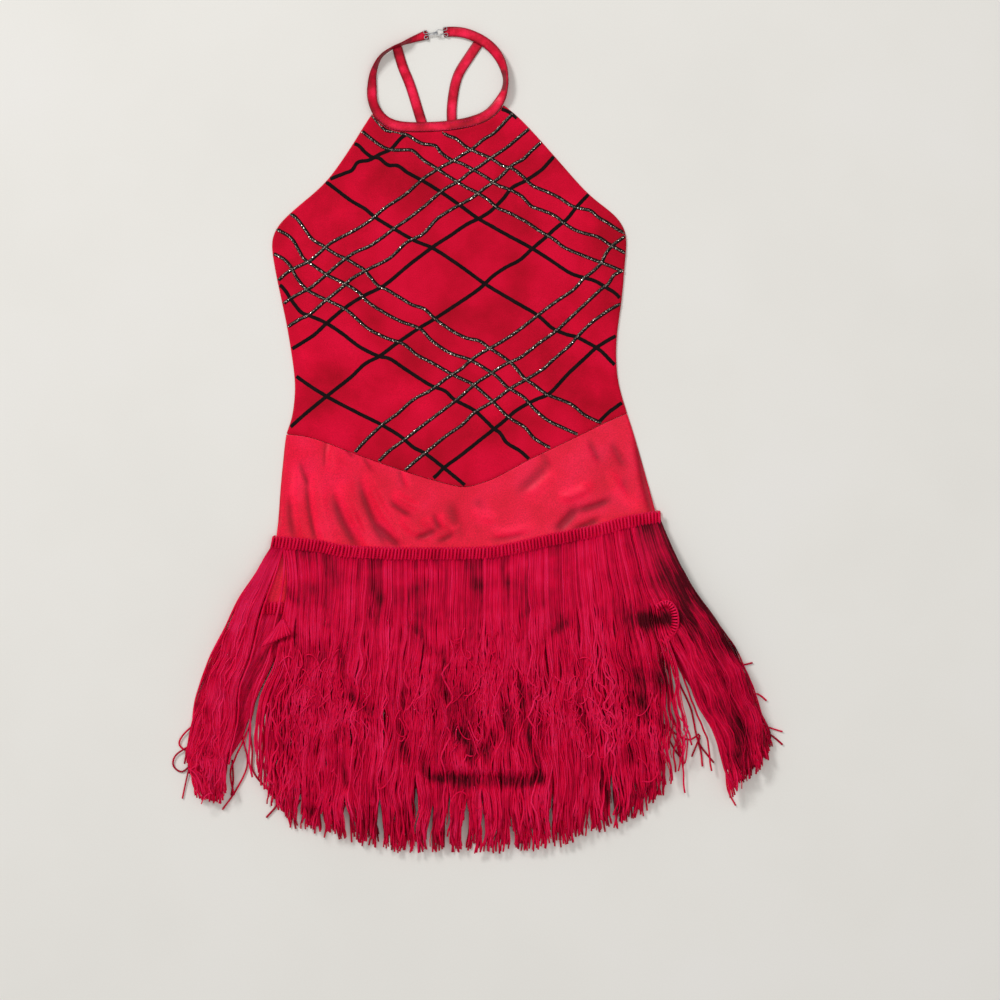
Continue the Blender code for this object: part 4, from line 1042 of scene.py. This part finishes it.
def cord_finish(name, dark, middle, light, **shader_values):
    """Shiny knitted cord whose shade and chain come from values in the mesh."""
    material, tree, shader = new_material(name, shader_values)
    shade = add_node(tree, "Attribute", attribute_name="shade")
    run = add_node(tree, "Attribute", attribute_name="run")
    where = tree.nodes.new("ShaderNodeTexCoord")
    drift = add_node(tree, "TexNoise", Scale=55.0, Detail=2.0)
    fuzz = add_node(tree, "TexNoise", Scale=2200.0, Detail=1.0)
    mixed = add_node(tree, "Math", {1: 0.6}, operation="MULTIPLY_ADD")
    offset = add_node(tree, "Math", {1: -0.3}, operation="ADD")
    ramp = tree.nodes.new("ShaderNodeValToRGB")
    elements = ramp.color_ramp.elements
    elements[0].color, elements[1].color = screen_colour(*dark), screen_colour(*light)
    elements.new(0.5).color = screen_colour(*middle)
    chain = add_node(tree, "Math", {1: math.tau / CHAIN_LENGTH}, operation="MULTIPLY")
    wave = add_node(tree, "Math", operation="SINE")
    height = add_node(tree, "Math", {1: 0.6}, operation="MULTIPLY_ADD")
    bump = add_node(tree, "Bump", Strength=0.8, Distance=0.00012)
    wire(
        tree, (where, "Object", drift, "Vector"), (where, "Object", fuzz, "Vector"),
        (drift, "Fac", mixed, 0), (shade, "Fac", mixed, 2), (mixed, 0, offset, 0),
        (offset, 0, ramp, "Fac"), (ramp, "Color", shader, "Base Color"),
        (run, "Fac", chain, 0), (chain, 0, wave, 0), (wave, 0, height, 0),
        (fuzz, "Fac", height, 2), (height, 0, bump, "Height"), (bump, "Normal", shader, "Normal"),
    )
    return material


fringe_cord = cord_finish(
    "fringe cord", (84, 0, 18), (226, 0, 62), (250, 36, 98), Roughness=0.6, Specular_IOR_Level=0.1,
    Subsurface_Weight=0.3, Subsurface_Radius=(1.0, 0.12, 0.25), Subsurface_Scale=0.0016,
)

# %% [markdown]
# The heading is where the cords loop over the tape and are stitched down. The tape is a few
# cords side by side, a little darker as painted shade in the gaps between the ribs. Over it stand
# thick slanting ribs, one for each pair of cords, with painted light near the upper edge and
# painted shade where they dip under, and a fine bright thread that loops from rib to rib along the
# upper edge.

# %% Heading ribs
TAPE_DEPTHS, TAPE_HEIGHT = (0.12, 0.31, 0.5, 0.69, 0.88), 0.0009
RIB_SPACING, RIB_RADIUS, RIB_SLANT = 0.0028, 0.0007, 0.0009
# Points of a rib: depth across the heading, height over the tape, and shade, which is painted:
# lighter near the upper edge, darker where the rib dips under the lower one
RIB = np.array([
    (1.06, 0.0003, -0.12), (0.93, 0.0010, 0.0), (0.6, 0.0013, 0.04),
    (0.3, 0.0013, 0.06), (0.06, 0.0010, 0.10), (-0.03, 0.0002, 0.0),
])


def along_heading(row, shares, down, height):
    """Places at some depth below the upper edge of a heading, with their height."""
    tops = columns_at(shares, FINE_SHARES, row["fine"])
    ups = columns_at(shares, FINE_SHARES, left_normals(row["fine"]))
    spots = tops - ups * (np.asarray(down) * HEADING_WIDTH)[..., None]
    return np.column_stack([spots, np.broadcast_to(height, len(spots))])


def heading_routes(row, chance):
    """The tape, the ribs and the looped edge thread of a heading."""
    length = line_length(row["fine"])
    base = row["level"] + TAPE_HEIGHT
    even = np.linspace(0.002, 0.998, 150)
    # The tape's lower shade is painted shade in the gaps between the ribs
    routes = [(along_heading(row, even, depth, base), 1.2, 0.40) for depth in TAPE_DEPTHS]
    count = int(length / RIB_SPACING)
    down, heights, shades = RIB.T
    for number in range(count):
        share = (number + 0.5 + chance.uniform(-0.12, 0.12)) / count
        slant = (RIB_SLANT + chance.uniform(-0.0004, 0.0005)) / length
        shade = chance.uniform(0.42, 0.54) + shades
        height = base + heights + chance.uniform(0, 0.0002)
        points = along_heading(row, np.clip(share + slant * (0.5 - down), 0, 1), down, height)
        routes.append((points, chance.uniform(1.3, 1.5) * RIB_RADIUS / row["radius"], shade))
    turns = np.linspace(0, count * math.tau, count * 6)
    shares = np.linspace(0.004, 0.996, count * 6)
    height = base + 0.0011 + 0.0004 * np.sin(turns)
    thread = along_heading(row, shares, -0.05 + 0.09 * np.cos(turns), height)
    routes.append((thread, 0.40, 0.78))
    return routes


# %% [markdown]
# Cords crowd at both ends of a heading, where the front and back rows meet at the side seam and
# spread into the two side bunches. So the cords aren't spaced evenly: their density is a curve.
# The front gets a last layer of finer cords. It has the same seed as the row under it, so its cords
# fall in the same locks. The bunch at the right hangs in the shade of the skirt.

# %% Fringe rows
ROWS = [
    dict(name="fringe_back_upper", heading=UPPER_HEADING, level=0.0, cords=240, radius=0.00068,
         ends=BACK_UPPER_ENDS, height=back_upper_height, sides=(0.080, 0.922),
         spread=(-0.03, 0.02), lift=0.0, follow=0.0, loose=0.0, seed=3, tone=0.46),
    dict(name="fringe_back_lower", heading=LOWER_HEADING, level=0.0023, cords=290, radius=0.00068,
         ends=BACK_LOWER_ENDS, height=back_lower_height, sides=(0.070, 0.932),
         spread=(-0.03, 0.02), lift=0.0, follow=0.0, loose=0.0, seed=5, tone=0.48),
    dict(name="fringe_front_lower", heading=LOWER_HEADING, level=0.0075, cords=380, radius=0.00072,
         ends=FRONT_LOWER_ENDS, height=front_lower_height, sides=(0.062, 0.942),
         spread=(-0.05, 0.02), lift=0.0004, follow=0.5, loose=0.03, seed=7, tone=0.54),
    dict(name="fringe_front_upper", heading=UPPER_HEADING, level=0.0050, cords=430, radius=0.00078,
         ends=FRONT_UPPER_ENDS, height=front_upper_height, sides=(0.031, 0.932),
         spread=(-0.13, 0.0), lift=FRINGE_LIFT, follow=1.0, loose=0.06, seed=11, tone=0.56),
    dict(name="fringe_front_fine", heading=UPPER_HEADING, level=0.0050, cords=400, radius=0.00040,
         ends=FRONT_UPPER_ENDS, height=front_upper_height, sides=(0.031, 0.932),
         spread=(-0.16, 0.0), lift=FRINGE_LIFT + 0.0012, follow=1.0, loose=0.12, seed=11, tone=0.57),
]


SIDE_CROWD = 0.13
# What differs from lock to lock: its wave, its ripple, its height, and how it shifts the folds
LOCK_WIDTH = (0.008, 0.026)
LOCK_SPANS = dict(
    size=(0.0003, 0.0011), wave=(0.030, 0.062), phase=(0, 6.28), ripple=(0.035, 0.080),
    layer=(0.0, 1.0), shade=(-0.10, 0.10), slip=(-0.0012, 0.0012), gain=(0.8, 1.2),
)
# The bunch at the right: its painted shade, and the painted shade that its outer upper part adds
BUNCH_SHADE, BUNCH_DARKEST, BUNCH_TOP, BUNCH_FADE = 0.14, 0.46, 0.190, 0.040


def cord_shares(row, chance):
    """Where the cords sit on the heading, closer together at both ends."""
    left, right = row["sides"]
    crowd = SIDE_CROWD / left * (FINE_SHARES < left)
    density = 1 + crowd + SIDE_CROWD / (1 - right) * (FINE_SHARES > right)
    filled = running((density[1:] + density[:-1]) / 2)
    even = (np.arange(row["cords"]) + 0.5) / row["cords"]
    even = even + np.array([chance.uniform(-0.4, 0.4) for _ in even]) / row["cords"]
    return np.interp(even, filled / filled[-1], FINE_SHARES)


def row_locks(row):
    """The locks of a row: where each starts and ends on the heading, and how it hangs."""
    chance = random.Random(row["seed"] + 200)
    locks, end = [], 0.0
    while end < 1:
        start, end = end, end + chance.uniform(*LOCK_WIDTH)
        own = {key: chance.uniform(*span) for key, span in LOCK_SPANS.items()}
        locks.append(dict(start=start, end=end, **own))
    return locks


def row_routes(row):
    """All cords of a row, with the heading."""
    chance = random.Random(row["seed"])
    row["fine"] = even_line(row["heading"], FINE_SHARES)
    routes = [] if row["name"] == "fringe_front_fine" else heading_routes(row, chance)
    chance = random.Random(row["seed"] + 100 + len(row["name"]))
    locks = row_locks(row)
    for share in cord_shares(row, chance):
        lock = next(lock for lock in locks if share <= lock["end"])
        points, shade = cord_route(row, float(share), lock, chance.random() < row["loose"], chance)
        # Painted shade on the bunch at the right, darkest at its outer upper part
        outer = (share - row["sides"][1]) / (1 - row["sides"][1])
        upper = soften((points[:, 1] + BUNCH_TOP) / BUNCH_FADE)
        shade = shade - (BUNCH_SHADE + BUNCH_DARKEST * outer ** 2 * upper) * (outer > 0)
        routes.append((points, chance.uniform(0.85, 1.1), shade))
    return routes


# %% [markdown]
# Some cords have worked loose. Those that stand clear of the skirt are charted, and the
# small tangles on top of it are loops of cord that wind about a place for part of a turn. The lower
# heading's end curls up at the right, and a pleated lock stands at the left.

# %% Loose cords and tangles
STRAY_CORDS = [
    [(238, 712), (243, 740), (247, 765), (236, 790), (222, 810)],
    [(249, 728), (252, 750), (253, 772), (270, 792), (280, 800), (266, 818)],
    [(197, 722), (183, 735), (179, 745), (188, 751), (199, 745), (196, 733)],
    [(193, 744), (176, 755), (173, 766), (182, 772), (193, 762)],
    [(190, 764), (186, 780), (182, 799)], [(232, 760), (233, 780), (231, 796)],
    [(716, 646), (728, 655), (738, 665), (753, 663)], [(728, 668), (742, 676), (748, 687)],
    [(742, 690), (748, 699), (757, 694), (767, 701)], [(756, 722), (767, 727), (783, 732)],
    [(757, 742), (768, 734), (783, 745)],
    [(668, 726), (677, 735), (690, 740), (700, 735), (692, 757)],
    [(700, 738), (700, 745), (714, 763)], [(640, 778), (645, 790), (655, 797), (660, 785)],
    [(664, 724), (672, 745), (685, 764)], [(726, 770), (728, 790), (736, 806)],
    [(300, 800), (292, 818), (290, 828)], [(322, 806), (326, 824), (324, 838)],
]
# Corners of a tangled area, and how many loops it has
TANGLES = [
    (298, 652, 342, 722, 14), (440, 624, 520, 700, 10), (446, 700, 520, 760, 9),
    (558, 650, 622, 764, 12), (262, 648, 296, 706, 4), (380, 650, 424, 760, 4),
    (186, 736, 226, 792, 6), (452, 790, 486, 812, 5), (640, 700, 664, 780, 4),
    (330, 770, 420, 800, 3),
]
CURLED_END = [(654, 605), (664, 600), (672, 603), (677, 613), (677, 626), (672, 636), (664, 643)]
# Points of its ribs: distance from the line, height and shade; the shade is painted, darker where a
# rib dips low and lighter on top
CURL_RIB = np.array([
    (0.0050, -0.0020, 0.4), (0.0026, 0.0004, 0.66), (0.0004, 0.0004, 0.80), (0.0004, -0.001, 0.5),
])
PLEAT_TOP, PLEAT_EDGE = (284, 618), ((263, 646), (270, 643), (277, 640), (284, 637), (291, 634))
PLEAT_HEIGHT, PLEAT_RISE, PLEAT_STEP = 0.0136, 0.0012, 0.0005


def skirt_top(x, y):
    """About how high the mass of the front cords stands."""
    fold = crease_height(x, y, FRINGE_FOLDS)
    return front_upper_height(x, y) + 0.0024 + np.maximum(FRINGE_LIFT + fold, 0)


def stray_routes(chance):
    """The charted loose cords, which slope down to the table."""
    for pixels in STRAY_CORDS:
        line = plans(pixels)
        line = even_line(line, np.linspace(0, 1, int(line_length(line) / 0.0022) + 4))
        height = 0.0012 + 0.0012 * np.linspace(1, 0, len(line)) ** 2
        thickness, shade = chance.uniform(0.8, 1.0), chance.uniform(0.2, 0.5)
        yield np.column_stack([line, height]), thickness, shade


def tangle_routes(chance):
    """Small open loops of cord on top of the skirt, with their ends tucked in."""
    t = np.linspace(0, 1, 24)
    for x0, y0, x1, y1, count in TANGLES:
        for _ in range(count):
            x, y = plan(chance.uniform(x0, x1), chance.uniform(y0, y1))
            turn = math.tau * chance.uniform(0.3, 0.9) * t * chance.choice((-1, 1))
            turn = turn + any_phase(chance)
            radius = chance.uniform(0.0016, 0.0050) * (1 + 0.6 * np.sin(3 * t + any_phase(chance)))
            x = x + radius * np.cos(turn) + chance.uniform(-0.010, 0.010) * (t - 0.5)
            y = y + radius * 1.4 * np.sin(turn) - chance.uniform(0.006, 0.028) * (t - 0.5)
            height = skirt_top(x, y) + 0.0003 * np.sin(math.pi * t)
            height = height - 0.0018 * (np.abs(t - 0.5) > 0.42)
            thickness, shade = chance.uniform(0.6, 0.85), chance.uniform(0.45, 0.8)
            yield np.column_stack([x, y, height]), thickness, shade


def curl_routes():
    """The heading that curls up at the right, with its ribs."""
    line = even_line(plans(CURLED_END), np.linspace(0, 1, 40))
    top = skirt_top(line[:, 0], line[:, 1]).max()
    yield np.column_stack([line, np.full(len(line), top)]), 1.0, 0.5
    away, heights, shades = CURL_RIB.T
    for place, side in list(zip(line, left_normals(line)))[1::2]:
        yield np.column_stack([place - side * away[:, None], top + heights]), 1.0, shades


def pleat_routes():
    """The pleated lock at the left, as cords that fan out from its top."""
    apex = np.array(plan(*PLEAT_TOP))
    for number, end in enumerate(even_line(plans(PLEAT_EDGE), np.linspace(0, 1, 11))):
        line = apex + (end - apex) * np.linspace(0.05, 1, 8)[:, None]
        # Every other cord stands higher and gets painted light
        odd = number % 2
        height = PLEAT_HEIGHT + PLEAT_RISE * np.linspace(0, 1, 8) + PLEAT_STEP * odd
        yield np.column_stack([line, height]), 1.35, 0.52 + 0.14 * odd


for row in ROWS:
    routes = row_routes(row)
    if row["name"] == "fringe_front_upper":
        chance = random.Random(17)
        routes += [*stray_routes(chance), *tangle_routes(chance), *curl_routes(), *pleat_routes()]
    piece = yarn(row["name"] + "_cords", routes, row["radius"])
    stands_for = [row["name"]] if row["name"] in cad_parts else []
    put_on(piece, fringe_cord, "fringe", *stands_for)

# %% [markdown]
# The binding is folded over the neckline and held by two rows of stitches. Its ends are folded
# back through the hook and the eye and sewn down. Each stitch is a short cord that is laid on the
# band, and all stitches are one mesh.

# %% Stitches
NECK_SEAMS = [
    [(383, 117), (392, 123), (402, 125), (430, 124), (458, 122), (484, 116), (495, 106)],
    [(378, 118), (388, 127), (401, 130), (442, 130), (458, 128), (485, 122), (500, 110)],
]
END_SEAMS = [
    [(425, 31), (426, 39)], [(430, 29), (431, 37)], [(444, 28), (444, 36)], [(449, 27), (449, 35)],
]
STITCH_RADIUS, STITCH_GAP = 0.00022, 0.0005
STITCH_LIFTS = np.array([-0.00002, 0.00012, 0.00012, -0.00002])
binding_tree = tree_of(binding)


def stitch_routes(pixels, length, shade):
    """Short raised stitches on the binding, along a line on the photograph."""
    line = plans(pixels)
    count = int(line_length(line) / (length + STITCH_GAP))
    spots = even_line(line, np.linspace(0, 1, count * 5 + 1))
    for number in range(count):
        places = spots[number * 5:number * 5 + 4]
        heights = [on_top(binding_tree, x, y) for x, y in places]
        if None not in heights:
            yield np.column_stack([places, heights + STITCH_LIFTS]), 1.0, shade


seams = []
for lines, length, shade in ((NECK_SEAMS, 0.0018, 0.95), (END_SEAMS, 0.0012, 0.0)):
    for pixels in lines:
        seams += stitch_routes(pixels, length, shade)
stitches = put_on(yarn("stitches", seams, STITCH_RADIUS), fringe_cord, "binding")

# %% [markdown]
# The panels are cut to shape, so their flat area is printed too.

# %% Sheets
def cloth_area(piece):
    """Half of a closed shell's surface, which is the area of its cloth."""
    return sum(face.area for face in piece.data.polygons) / 2


for piece in (front_bodice, back_bodice, front_hip, back_hip, binding, strap_left, strap_right):
    print("sheet", piece.name, round(cloth_area(piece), 5))

cloth_area(front_bodice)
cloth_area(back_bodice)
cloth_area(front_hip)
cloth_area(back_hip)
cloth_area(binding)
cloth_area(strap_left)
cloth_area(strap_right)
